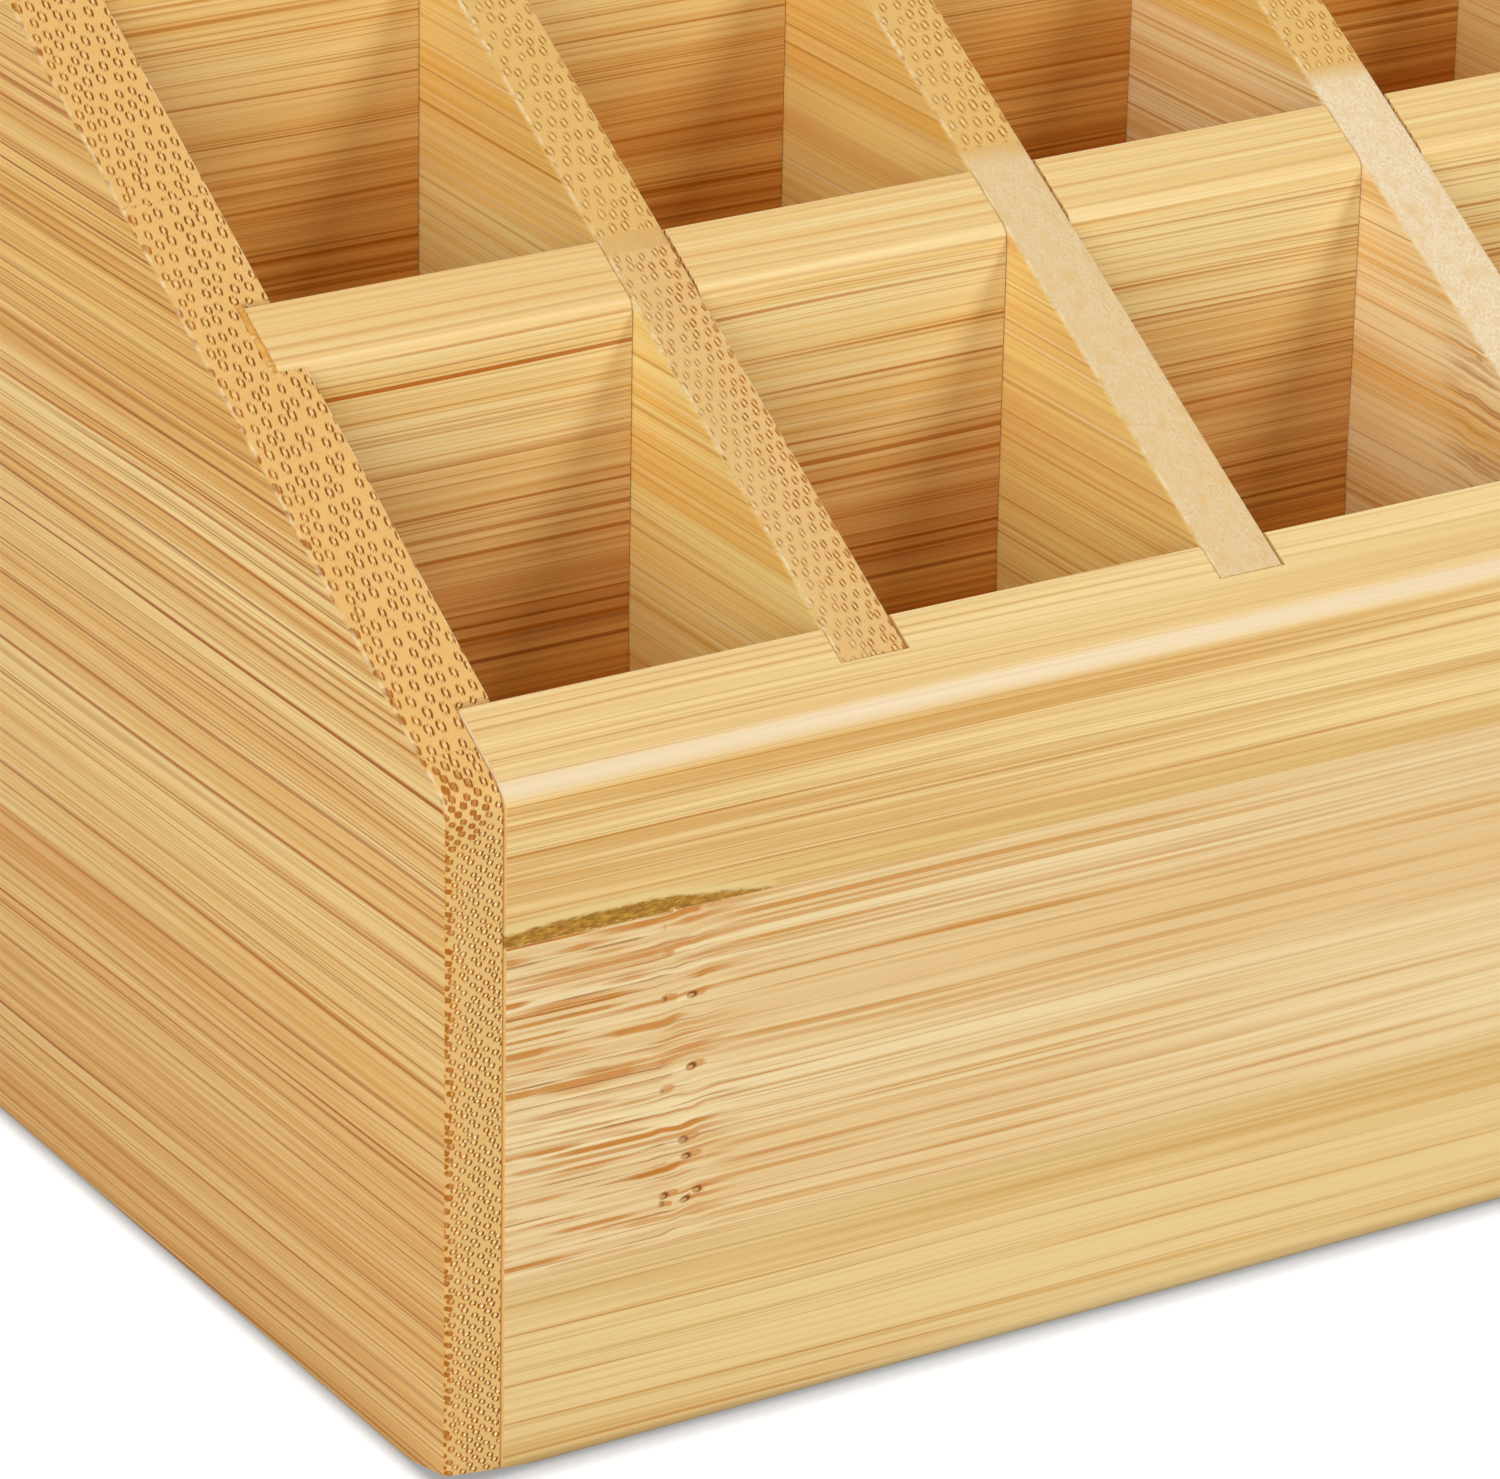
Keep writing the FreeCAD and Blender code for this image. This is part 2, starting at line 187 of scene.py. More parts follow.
@dataclass(frozen=True)
class Spot:
    """A soft oval mark, one of those that make up a knot's pit.

    Attributes:
        colour: Its colour.
        share: How strongly it shows.
        shift_mm: Where its middle lies from the pit's, along the grain and up.
        half_mm: Half its length and half its height.
    """

    colour: str
    share: float
    shift_mm: Span
    half_mm: Span


@dataclass(frozen=True)
class Stain:
    """A brown seam above a glue joint, where the strip's skin was left on.

    Attributes:
        joint_mm: Height of the joint.
        full_mm: Up to where it keeps its thickness, along the grain.
        end_mm: Where it runs out.
        thick_mm: How far it stands up from the joint.
        haze_mm: How far up the joint's olive haze reaches.
        haze: Colour of the haze.
        rim: Colour of the pale rim above the seam.
        dark: Colour of its dark places.
        light: Colour of its light places.
        fray: Colour of the frayed fibres along its lower edge.
    """

    joint_mm: float
    full_mm: float
    end_mm: float
    thick_mm: float = 1.2
    haze_mm: float = 2.6
    haze: str = "c9a258"
    rim: str = "dcc384"
    dark: str = "865608"
    light: str = "c08e30"
    fray: str = "f0dcae"


@dataclass(frozen=True)
class Cluster:
    """A patch of crowded, solid bundles next to the skin.

    Attributes:
        height_mm: Height of its middle.
        half_mm: Half its height.
        depth_mm: How far in from the skin it reaches.
    """

    height_mm: float
    half_mm: float
    depth_mm: float


@dataclass(frozen=True)
class Cloud:
    """Noise with clouds of a real size.

    Attributes:
        cell_mm: Size of a cloud along the grain, in from the skin and up.
        luck: How far each strip's clouds are shifted from the next one's.
        detail: How many finer layers it has.
        roughness: How strong those are.
    """

    cell_mm: Point
    luck: float = 0.0
    detail: float = 1.0
    roughness: float = 0.6


@dataclass(frozen=True)
class BambooFinish:
    """Edge-glued bamboo strips, planed, sanded and lacquered.

    Bundles of fibre fill each strip and run along the grain. Cut across they show as rings, drawn out on a
    sloped cut. Along the faces they show as thin lines.

    Attributes:
        name: Name of the material.
        grain: The way the fibres run.
        seed: Number that sets this board's bundles apart from the others'.
        skin: The face that was nearest to the outside of the cane.
        tilt: Fall of the strips for each millimetre along the grain.
        strips: The strips, from the bottom up.
        lines: The lines on the faces, the faint ones first.
        end_square: Colour of the soft tissue where it is cut squarely.
        end_speck: Colour of the specks and clouds in the soft tissue.
        end_cap: Colour of the fibre caps of a bundle that is cut across.
        end_core: Colour of its soft core.
        end_skin: Colour of the solid bundles next to the skin.
        arris: Colour of the sanded edges.
        lip: Colour of a highlight painted on a rounded lip, if the board has one.
        top: Greyed colour of a sheen painted on what faces up, if the board has one.
        gloss: Gloss of the lacquer on what faces up, where 0.5 is plain lacquer.
        tan_left_under_sheen: Share of the tanned bands that is left on what faces up, which a painted sheen
            pales.
        top_lines: Share of the lines that is left there.
        strokes: Short strokes of broken fibre before a knot.
        calm_mm: Where along the grain the lines begin and end to fade, if they do.
        knots: Nodes of the cane.
        stain: A brown seam, if the board has one.
        cluster: A patch of solid bundles, if the board has one.
    """

    name: str
    grain: Grain
    seed: float = 1.0
    skin: Skin = Skin.LOW
    tilt: float = 0.0
    strips: Tuple[Strip, ...] = (Strip(),)
    lines: Tuple[Lines, ...] = (Lines("b07a32", 0.28, 0.10, 30.0, 0.4),
                                Lines("b8722a", 1.4, 0.26, 70.0, 0.85))
    end_square: str = "dab678"
    end_speck: str = "d6a658"
    end_cap: str = "8c4e06"
    end_core: str = "f8e2b4"
    end_skin: str = "aa641a"
    arris: str = "f0dcb0"
    lip: Optional[str] = None
    top: Optional[str] = None
    gloss: float = 0.5
    tan_left_under_sheen: float = 1.0
    top_lines: float = 0.6
    strokes: Tuple[Lines, ...] = (Lines("c07e36", 0.5, 0.55, 9.0, 1.0, floor=0.0),
                                  Lines("ecd8a8", 1.1, 0.3, 6.0, 0.6, floor=0.0),
                                  Lines("9c602a", 0.6, 0.18, 7.0, 0.8, floor=0.0))
    calm_mm: Optional[Span] = None
    knots: Tuple[Knot, ...] = ()
    stain: Optional[Stain] = None
    cluster: Optional[Cluster] = None


class NodeBench:
    """A node tree while it is being put together."""

    # The setting that the word after the dot in a node's kind stands for.
    MODES = {"Math": "operation", "VectorMath": "operation", "MapRange": "interpolation_type",
             "Mix": "data_type", "TexVoronoi": "voronoi_dimensions", "TexWhiteNoise": "noise_dimensions",
             "VectorRotate": "rotation_type"}

    def __init__(self, owner: Union[bpy.types.Material, bpy.types.World]) -> None:
        """Empty the node tree of a material or a world.

        Args:
            owner: The material or the world.
        """
        owner.use_nodes = True
        self.tree = owner.node_tree
        self.tree.nodes.clear()

    def add(self, kind: str, *values: Value, output: Optional[str] = None, **named: Value) -> Socket:
        """Add a node with its settings and links.

        Args:
            kind: The node's type without the leading ShaderNode, and its mode after a dot if it has one.
            *values: Sockets to link or values to set, in the order of the inputs that the node shows.
                Where there are more, as in a long product, another node of the kind takes the first ones.
            output: Name of the output to hand back, if not the first that the node shows.
            **named: Inputs by name, with an underscore for a space.

        Returns:
            The chosen output, or the first input of a node that has no output.
        """
        family, _, mode = kind.partition(".")
        made = self.tree.nodes.new(f"ShaderNode{family}")
        if mode:
            setattr(made, self.MODES[family], mode)
        shown = [socket for socket in made.inputs if socket.enabled]
        if len(values) > len(shown):
            values = (self.add(kind, *values[:-1]), values[-1])
        pairs = list(zip(shown, values))
        pairs += [(made.inputs[name.replace("_", " ")], value) for name, value in named.items()]
        for socket, value in pairs:
            if isinstance(value, bpy.types.NodeSocket):
                self.tree.links.new(value, socket)
            else:
                socket.default_value = value
        given = [socket for socket in made.outputs if socket.enabled] or list(made.inputs)
        return made.outputs[output] if output else given[0]


class BambooMaterial:
    """Lacquered bamboo for one board.

    Sanding leaves the bundles' cut ends as dark crescents round a pale core, and the long faces as fine
    orange-brown lines on a cream ground. The lacquer gives them a satin sheen.
    """

    TONES = ("pale", "gold", "end")
    MAKE = ("depth", "inner", "bundle_mm", "row_mm", "ring_mm")

    def __init__(self, node: str, finish: BambooFinish) -> None:
        """Take the board's faces from the frame.

        Args:
            node: Name of the board.
            finish: Its finish.
        """
        self.finish = finish
        self.material = bpy.data.materials.new(finish.name)
        self.bench = NodeBench(self.material)
        low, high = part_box(node)
        through = 1 - finish.grain.value
        skin_corner = low if finish.skin is Skin.LOW else high
        self.skin_face_mm = skin_corner[through] * MM_PER_METRE
        self.start_mm = low[finish.grain.value] * MM_PER_METRE

    def build(self) -> bpy.types.Material:
        """Put the whole node tree together.

        Returns:
            The material.
        """
        self.measure()
        self.part_strips()
        self.swerve_at_knots()
        self.wander()
        self.draw_bundles()
        self.fill_bundles_near_skin()
        self.draw_streaks()
        self.colour_faces()
        self.colour_ends()
        self.join_faces_and_ends()
        self.open_pits()
        self.lay_stain()
        self.lacquer()
        return self.material

    def noise(self, cloud: Cloud) -> Socket:
        """Draw cloudy noise through the board.

        Args:
            cloud: The noise's sizes.

        Returns:
            The noise, between about 0.3 and 0.7.
        """
        add = self.bench.add
        place = add("VectorMath.MULTIPLY", self.point, tuple(1 / size for size in cloud.cell_mm))
        place = add("VectorMath.MULTIPLY_ADD", self.luck, (cloud.luck,) * 3, place)
        return add("TexNoise", place, Scale=1.0, Detail=cloud.detail, Roughness=cloud.roughness)

    # How squarely a surface cuts the grain: from a long face to a cut end, and from a slope to a square cut.
    END_CUT = (0.12, 0.42)
    SQUARE_CUT = (0.62, 0.92)

    # How far a surface faces up where the lacquer begins to lie thick and where it is thickest.
    TURNED_UP = (0.05, 0.45)

    def measure(self) -> None:
        """Find millimetres along the grain, in from the skin and up, and the way the surface faces."""
        add = self.bench.add
        finish = self.finish
        x, y, z = add("SeparateXYZ", add("TexCoord", output="Object")).node.outputs
        run, through = (x, y) if finish.grain is Grain.ACROSS else (y, x)
        sign = finish.skin.value
        self.along = add("Math.MULTIPLY_ADD", run, MM_PER_METRE, -self.start_mm)
        self.inwards = add("Math.MULTIPLY_ADD", through, sign * MM_PER_METRE, -sign * self.skin_face_mm)
        upright = add("Math.MULTIPLY", z, MM_PER_METRE)
        self.height = add("Math.MULTIPLY_ADD", self.along, finish.tilt, upright)
        facing = add("SeparateXYZ", add("NewGeometry", output="Normal")).node.outputs
        cut = add("Math.ABSOLUTE", facing[finish.grain.value])
        self.end = add("MapRange.SMOOTHSTEP", cut, *self.END_CUT)
        self.square = add("MapRange.SMOOTHSTEP", cut, *self.SQUARE_CUT)
        self.sideways = add("Math.ABSOLUTE", facing[0])
        self.upwards = facing[2]
        self.upturned = add("MapRange.SMOOTHSTEP", self.upwards, *self.TURNED_UP)

    # A glue joint's thin line: where it is full and where it ends, and how strongly it shows. A strip that
    # starts more softly than JOINT_BLEND_MM is only a change of tan, with no joint.
    SEAM_MM = (0.02, 0.09)
    SEAM_SHARE = 0.3
    JOINT_BLEND_MM = 1.0
    LUCK_PER_SEED = 7.31

    def part_strips(self) -> None:
        """Give each strip its colours, its bundles, its own luck for the patterns and a thin glue line."""
        add = self.bench.add
        first = self.finish.strips[0]
        self.tone: Dict[str, Value] = {key: linear_colour(getattr(first, key)) for key in self.TONES}
        self.make: Dict[str, Value] = {key: getattr(first, key) for key in self.MAKE}
        self.seam: Value = 0.0
        rank: Value = self.finish.seed * self.LUCK_PER_SEED
        for strip in self.finish.strips[1:]:
            half = strip.blend_mm / 2
            above = add("MapRange", self.height, strip.start_mm - half, strip.start_mm + half)
            for key, tone in self.tone.items():
                self.tone[key] = add("Mix.RGBA", above, tone, linear_colour(getattr(strip, key)))
            for key, value in self.make.items():
                self.make[key] = add("Mix.FLOAT", above, value, getattr(strip, key))
            if strip.blend_mm > self.JOINT_BLEND_MM:
                continue
            rank = add("Math.ADD", rank, above)
            apart = add("Math.ABSOLUTE", add("Math.ADD", self.height, -strip.start_mm))
            line = add("MapRange", apart, *self.SEAM_MM, self.SEAM_SHARE, 0.0)
            self.seam = add("Math.MAXIMUM", line, self.seam)
        self.luck = add("TexWhiteNoise.1D", rank, output="Color")
        self.luck_parts = add("SeparateColor", self.luck).node.outputs

    # A knot's band: its soft lower end, its full middle, the step and the ruffle that it puts into the
    # fibres, and how far past it they stay broken.
    KNOT_SOFT_MM = 1.0
    KNOT_MIDDLE_MM = 0.8
    KNOT_STEP_MM = (0.14, -0.14)
    KNOT_PAST_MM = 0.5
    RUFFLE = Cloud((3.2, 2.0, 1.8))
    RUFFLE_MM = 0.8
    NOISE_MEAN = 0.5

    def swerve_at_knots(self) -> None:
        """Bend the fibres where a node of the cane crosses the board, and keep how near each point is."""
        add = self.bench.add
        self.nearness: Value = 0.0
        self.broken: Value = 0.0
        self.fibre_height = self.height
        for knot in self.finish.knots:
            reach = knot.reach_mm
            self.point = add("CombineXYZ", self.along, self.inwards, self.height)
            on_face = add("Math.SUBTRACT", 1.0, self.end)
            apart = add("Math.ADD", self.along, -knot.place_mm)
            above = add("MapRange.SMOOTHSTEP", self.height, knot.low_mm, knot.low_mm + self.KNOT_SOFT_MM)
            below = add("Math.LESS_THAN", self.height, knot.high_mm)
            inside = add("Math.MULTIPLY", above, below, on_face)
            away = add("Math.ABSOLUTE", apart)
            near = add("MapRange.SMOOTHSTEP", away, self.KNOT_MIDDLE_MM, reach, *FADE)
            near = add("Math.MULTIPLY", near, inside)
            step = add("MapRange.SMOOTHSTEP", apart, -reach, reach, *self.KNOT_STEP_MM)
            step = add("Math.MULTIPLY", step, inside)
            ruffle = add("Math.ADD", self.noise(self.RUFFLE), -self.NOISE_MEAN)
            ruffle = add("Math.MULTIPLY", ruffle, near)
            bent = add("Math.MULTIPLY_ADD", ruffle, self.RUFFLE_MM, step)
            self.fibre_height = add("Math.ADD", self.fibre_height, bent)
            self.nearness = add("Math.MAXIMUM", self.nearness, add("Math.MULTIPLY", near, knot.share))
            before = add("MapRange.SMOOTHSTEP", apart, -knot.broken_mm, -knot.broken_mm / 2)
            after = add("MapRange.SMOOTHSTEP", apart, self.KNOT_PAST_MM, 2 * reach, *FADE)
            broken = add("Math.MULTIPLY", before, after, inside, knot.share)
            self.broken = add("Math.MAXIMUM", self.broken, broken)

    # How far the bundles drift in and up.
    DRIFT = Cloud((60.0, 9.0, 9.0), luck=9.0, roughness=0.5)
    DRIFT_IN_MM = 1.0
    DRIFT_UP_MM = 1.2

    def wander(self) -> None:
        """Let the bundles drift slowly up, down, in and out as they run."""
        add = self.bench.add
        self.point = add("CombineXYZ", self.along, self.inwards, self.fibre_height)
        drift = add("SeparateColor", self.noise(self.DRIFT).node.outputs["Color"]).node.outputs
        self.section_in = add("Math.MULTIPLY_ADD", drift[0], self.DRIFT_IN_MM, self.inwards)
        self.section_up = add("Math.MULTIPLY_ADD", drift[1], self.DRIFT_UP_MM, self.fibre_height)

    # Rows of bundles: how much further apart they stand for each millimetre inwards, how far each row is
    # shifted along the next, how unevenly they stand, how they are turned, and how far each strip's pattern
    # is moved.
    SPREAD_PER_MM = 0.035
    ROW_SHIFT = 0.5
    SCATTER = 0.4
    BUNDLE_TURN = math.radians(22)
    COLUMN_LUCK = 61.0
    ROW_LUCK = 47.0

    # One bundle: sizes of its ring, half the width of the ring's line, where its two caps and its two dots
    # lie round it, how dark the outer cap is on a sloped and on a square cut, where the inner cap begins,
    # how dark the bundles are, and how far in from the skin that changes.
    RING_SIZES = (0.88, 1.12)
    RIM_MM = (0.042, 0.098)
    FLANK = (0.45, 0.8)
    TIP = (0.08, 0.34)
    TIP_SHARE = 0.45
    OUTER_CAP = (0.95, 0.75)
    CAP_SIDES = (-0.3, 0.3)
    STRENGTHS = (0.65, 1.0)
    INNER_MM = (0.4, 3.6)

    def draw_bundles(self) -> None:
        """Draw the cross-section of the bundles in staggered rows: two dark caps and two dots round a core.

        They stand further apart inside than next to the skin. On a square cut the inner cap is the darker.
        """
        add = self.bench.add
        make = self.make
        wide = add("Math.MULTIPLY_ADD", self.section_in, self.SPREAD_PER_MM, 1.0)
        spacing = add("Math.MULTIPLY", make["bundle_mm"], wide)
        column = add("Math.LOGARITHM", wide, math.e)
        column = add("Math.DIVIDE", column, self.SPREAD_PER_MM)
        column = add("Math.DIVIDE", column, make["bundle_mm"])
        row = add("Math.DIVIDE", self.section_up, make["row_mm"])
        column = add("Math.MULTIPLY_ADD", self.luck_parts[0], self.COLUMN_LUCK, column)
        row = add("Math.MULTIPLY_ADD", self.luck_parts[1], self.ROW_LUCK, row)
        shifted = add("Math.MULTIPLY_ADD", row, self.ROW_SHIFT, column)
        section = add("CombineXYZ", shifted, row)
        cell = add("TexVoronoi.2D", section, Scale=1.0, Randomness=self.SCATTER).node.outputs
        offset = add("VectorMath.SUBTRACT", section, cell["Position"])
        shifted, row = add("SeparateXYZ", offset).node.outputs[:2]
        across = add("Math.MULTIPLY_ADD", row, -self.ROW_SHIFT, shifted)
        across = add("Math.MULTIPLY", across, spacing)
        offset = add("CombineXYZ", across, add("Math.MULTIPLY", row, make["row_mm"]))
        offset = add("VectorRotate.Z_AXIS", offset, Angle=self.BUNDLE_TURN)
        away = add("VectorMath.LENGTH", offset)
        side = add("SeparateXYZ", add("VectorMath.NORMALIZE", offset))
        luck = add("SeparateColor", cell["Color"]).node.outputs
        radius = add("MapRange", luck[1], *MASK, *self.RING_SIZES)
        radius = add("Math.MULTIPLY", radius, make["ring_mm"])
        self.reach = add("Math.DIVIDE", away, radius)
        rim = add("Math.ABSOLUTE", add("Math.SUBTRACT", away, radius))
        rim = add("MapRange.SMOOTHSTEP", rim, *self.RIM_MM, *FADE)
        lean = add("Math.ABSOLUTE", side)
        flank = add("MapRange.SMOOTHSTEP", lean, *self.FLANK)
        tip = add("MapRange.SMOOTHSTEP", lean, *self.TIP, self.TIP_SHARE, 0.0)
        outer = add("MapRange", self.square, *MASK, *self.OUTER_CAP)
        inner = add("MapRange", side, *self.CAP_SIDES, outer, 1.0)
        cap = add("Math.MAXIMUM", add("Math.MULTIPLY", flank, inner), tip)
        strength = add("MapRange", luck[0], *MASK, *self.STRENGTHS)
        fall = add("MapRange.SMOOTHSTEP", self.inwards, *self.INNER_MM, 1.0, make["inner"])
        self.strength = add("Math.MULTIPLY", strength, make["depth"], fall)
        self.cap = add("Math.MULTIPLY", cap, rim, self.strength)

    # Solid bundles: how far in from the skin they reach, a cluster's soft edge, a bundle's own edge and that
    # of a pale core. The edges are shares of the cluster's or the ring's radius.
    SKIN_MM = (0.25, 0.6)
    CLUSTER_EDGE = (0.75, 1.05)
    SOLID_EDGE = (0.8, 1.3)
    CORE_EDGE = (0.15, 0.7)

    def fill_bundles_near_skin(self) -> None:
        """Make the bundles next to the skin and in a cluster solid, and keep the others' pale cores."""
        add = self.bench.add
        near = add("MapRange.SMOOTHSTEP", self.inwards, *self.SKIN_MM, *FADE)
        cluster = self.finish.cluster
        if cluster is not None:
            up = add("Math.ADD", self.height, -cluster.height_mm)
            up = add("Math.DIVIDE", up, cluster.half_mm)
            deep = add("Math.DIVIDE", self.inwards, cluster.depth_mm)
            apart = add("VectorMath.LENGTH", add("CombineXYZ", up, deep))
            crowded = add("MapRange.SMOOTHSTEP", apart, *self.CLUSTER_EDGE, *FADE)
            near = add("Math.MAXIMUM", near, crowded)
        solid = add("MapRange.SMOOTHSTEP", self.reach, *self.SOLID_EDGE, *FADE)
        self.solid = add("Math.MULTIPLY", solid, near, self.strength)
        core = add("MapRange.SMOOTHSTEP", self.reach, *self.CORE_EDGE, *FADE)
        self.core = add("Math.MULTIPLY", core, add("Math.SUBTRACT", 1.0, near))

    # Broad bands, fine streaks, and how much the layers of lines lean inwards as they rise.
    BAND = Cloud((190.0, 5.0, 5.0), luck=7.0, detail=2.0)
    STREAK = Cloud((70.0, 0.5, 0.5), luck=5.0, detail=3.0)
    LAYER_LEAN = 0.6

    def draw_streaks(self) -> None:
        """Draw broad tanned bands and fine streaks along the grain, and the layers that the lines follow."""
        self.band = self.noise(self.BAND)
        self.streak = self.noise(self.STREAK)
        self.layer = self.bench.add("Math.MULTIPLY_ADD", self.section_in, self.LAYER_LEAN, self.section_up)

    # Lines: how far apart two boards' and two lines' patterns lie, the noise range over which a line swells,
    # its half thickness and its soft edge as shares of the thickest, and how strongly the faintest show.
    LINE_LUCK = 31.0
    SWELL_LUCK = 5.7
    SWELL = (0.4, 0.58)
    LINE_HALF = (0.2, 0.5)
    LINE_EDGE = 0.1
    LINE_FAINT = 0.4

    def rule_lines(self, lines: Lines) -> Socket:
        """Rule lines along the grain at uneven distances, each of which swells and fades as it runs.

        Args:
            lines: Their sizes.

        Returns:
            How strongly a line shows, from 0 to 1.
        """
        add = self.bench.add
        thick = lines.thick_mm
        level = add("Math.MULTIPLY_ADD", self.layer, 1 / lines.spacing_mm, self.finish.seed * self.LINE_LUCK)
        cell = add("TexVoronoi.1D", level, Scale=1.0, Randomness=1.0).node.outputs
        luck = add("SeparateColor", cell["Color"]).node.outputs
        run = add("Math.MULTIPLY", self.along, 1 / lines.length_mm)
        run = add("CombineXYZ", run, add("Math.MULTIPLY", cell["W"], self.SWELL_LUCK))
        swell = add("TexNoise", run, Scale=1.0, Detail=1.0)
        swell = add("MapRange", swell, *self.SWELL, lines.floor, 1.0)
        half = add("MapRange", luck[0], *MASK, *(share * thick for share in self.LINE_HALF))
        half = add("Math.MULTIPLY", half, swell)
        apart = add("Math.MULTIPLY", cell["Distance"], lines.spacing_mm)
        apart = add("Math.SUBTRACT", apart, half)
        edge = self.LINE_EDGE * thick
        line = add("MapRange.SMOOTHSTEP", apart, -edge, edge, *FADE)
        strength = add("MapRange", luck[1], *MASK, self.LINE_FAINT * lines.share, lines.share)
        return add("Math.MULTIPLY", line, swell, strength)

    # Where tan begins and is full, in bands and streaks together. Then how strongly a painted sheen greys
    # what faces up, what a knot takes from the lines beside it, and what is left of them where they are
    # calm.
    TANNED = (0.78, 1.24)
    TOP_SHEEN_SHARE = 0.25
    BROKEN_LOSS = 0.75
    CALM_SHARE = 0.45

    def colour_faces(self) -> None:
        """Colour the faces that run along the grain: bands, streaks, lines and glue joints."""
        add = self.bench.add
        finish = self.finish
        tanned = add("MapRange.SMOOTHSTEP", add("Math.ADD", self.band, self.streak), *self.TANNED)
        # What faces up keeps less tan: a painted sheen.
        tanned = add("Math.MULTIPLY", tanned, add("MapRange", self.upturned, *MASK, 1.0, finish.tan_left_under_sheen))
        face = add("Mix.RGBA", tanned, self.tone["pale"], self.tone["gold"])
        # What faces up is greyed by a painted sheen.
        if finish.top is not None:
            painted_sheen = add("Math.MULTIPLY", self.upturned, self.TOP_SHEEN_SHARE)
            face = add("Mix.RGBA", painted_sheen, face, linear_colour(finish.top))
        whole = add("Math.MULTIPLY_ADD", self.broken, -self.BROKEN_LOSS, 1.0)
        whole = add("Math.MULTIPLY", whole, add("MapRange", self.upturned, *MASK, 1.0, finish.top_lines))
        if finish.calm_mm is not None:
            calm = add("MapRange", self.along, *finish.calm_mm, 1.0, self.CALM_SHARE)
            whole = add("Math.MULTIPLY", whole, calm)
        for lines in finish.lines:
            above = add("Math.GREATER_THAN", self.height, lines.low_mm)
            below = add("Math.LESS_THAN", self.height, lines.high_mm)
            within = add("Math.MULTIPLY", above, below, whole)
            share = add("Math.MULTIPLY", self.rule_lines(lines), within)
            face = add("Mix.RGBA", share, face, linear_colour(lines.colour))
        self.face = add("Mix.RGBA", self.seam, face, linear_colour(finish.lines[-1].colour))

    # Soft tissue: specks, drawn a little coarser than real ones so that they show, and broader clouds, with
    # the noise ranges over which they grow and their strength.
    SPECK = Cloud((0.3, 0.2, 0.2), detail=2.0)
    SPECK_RANGE = (0.42, 0.68)
    SPECK_SHARE = 0.6
    MOTTLE = Cloud((1.6, 1.2, 1.6), luck=3.0, detail=2.0)
    MOTTLE_RANGE = (0.42, 0.7)
    MOTTLE_SHARE = 0.45

    # A strip from the pale inside has more clouds and hardly any cores: shares there, and on dark strips.
    DARK_DEPTH = (0.0, 0.8)
    PALE_MOTTLE = (1.2, 1.0)
    PALE_CORES = (0.1, 1.0)

    # Cores on a sloped and on a square cut, and where caps reach full colour, by depth and by strength.
    CORE_SHARES = (0.3, 0.75)
    CAP_TONE_MM = (0.4, 2.4)
    CAP_RANGE = (0.0, 0.65)

    def colour_ends(self) -> None:
        """Colour the faces that cut across the bundles, with speckled and clouded soft tissue."""
        add = self.bench.add
        finish = self.finish
        depth = self.make["depth"]
        skin_tone = linear_colour(finish.end_skin)
        ends = add("Mix.RGBA", self.square, self.tone["end"], linear_colour(finish.end_square))
        speck = add("MapRange", self.noise(self.SPECK), *self.SPECK_RANGE, 0.0, self.SPECK_SHARE)
        mottle = add("MapRange", self.noise(self.MOTTLE), *self.MOTTLE_RANGE, 0.0, self.MOTTLE_SHARE)
        more = add("MapRange.SMOOTHSTEP", depth, *self.DARK_DEPTH, *self.PALE_MOTTLE)
        speck = add("Math.MAXIMUM", speck, add("Math.MULTIPLY", mottle, more))
        ends = add("Mix.RGBA", speck, ends, linear_colour(finish.end_speck))
        bright = add("MapRange", self.square, *MASK, *self.CORE_SHARES)
        left = add("MapRange.SMOOTHSTEP", depth, *self.DARK_DEPTH, *self.PALE_CORES)
        core = add("Math.MULTIPLY", self.core, bright, left)
        ends = add("Mix.RGBA", core, ends, linear_colour(finish.end_core))
        deep = add("MapRange.SMOOTHSTEP", self.inwards, *self.CAP_TONE_MM)
        cap_tone = add("Mix.RGBA", deep, skin_tone, linear_colour(finish.end_cap))
        ends = add("Mix.RGBA", add("MapRange", self.cap, *self.CAP_RANGE), ends, cap_tone)
        self.ends = add("Mix.RGBA", self.solid, ends, skin_tone)

    # Sanded edges: how far the surface faces sideways where one begins and ends, and how patchy it is.
    EDGE_BEGINS = (0.2, 0.5)
    EDGE_ENDS = (0.8, 0.97)
    SCUFF = Cloud((1.4, 1.4, 1.4), detail=2.0)
    SCUFF_RANGE = (0.4, 0.65)
    SCUFF_SHARE = 0.7

    # A round lip: how far the surface faces up where it begins and ends, and how strongly its painted
    # highlight shows.
    LIP_BEGINS = (0.2, 0.55)
    LIP_ENDS = (0.7, 0.84)
    LIP_HIGHLIGHT_SHARE = 0.6

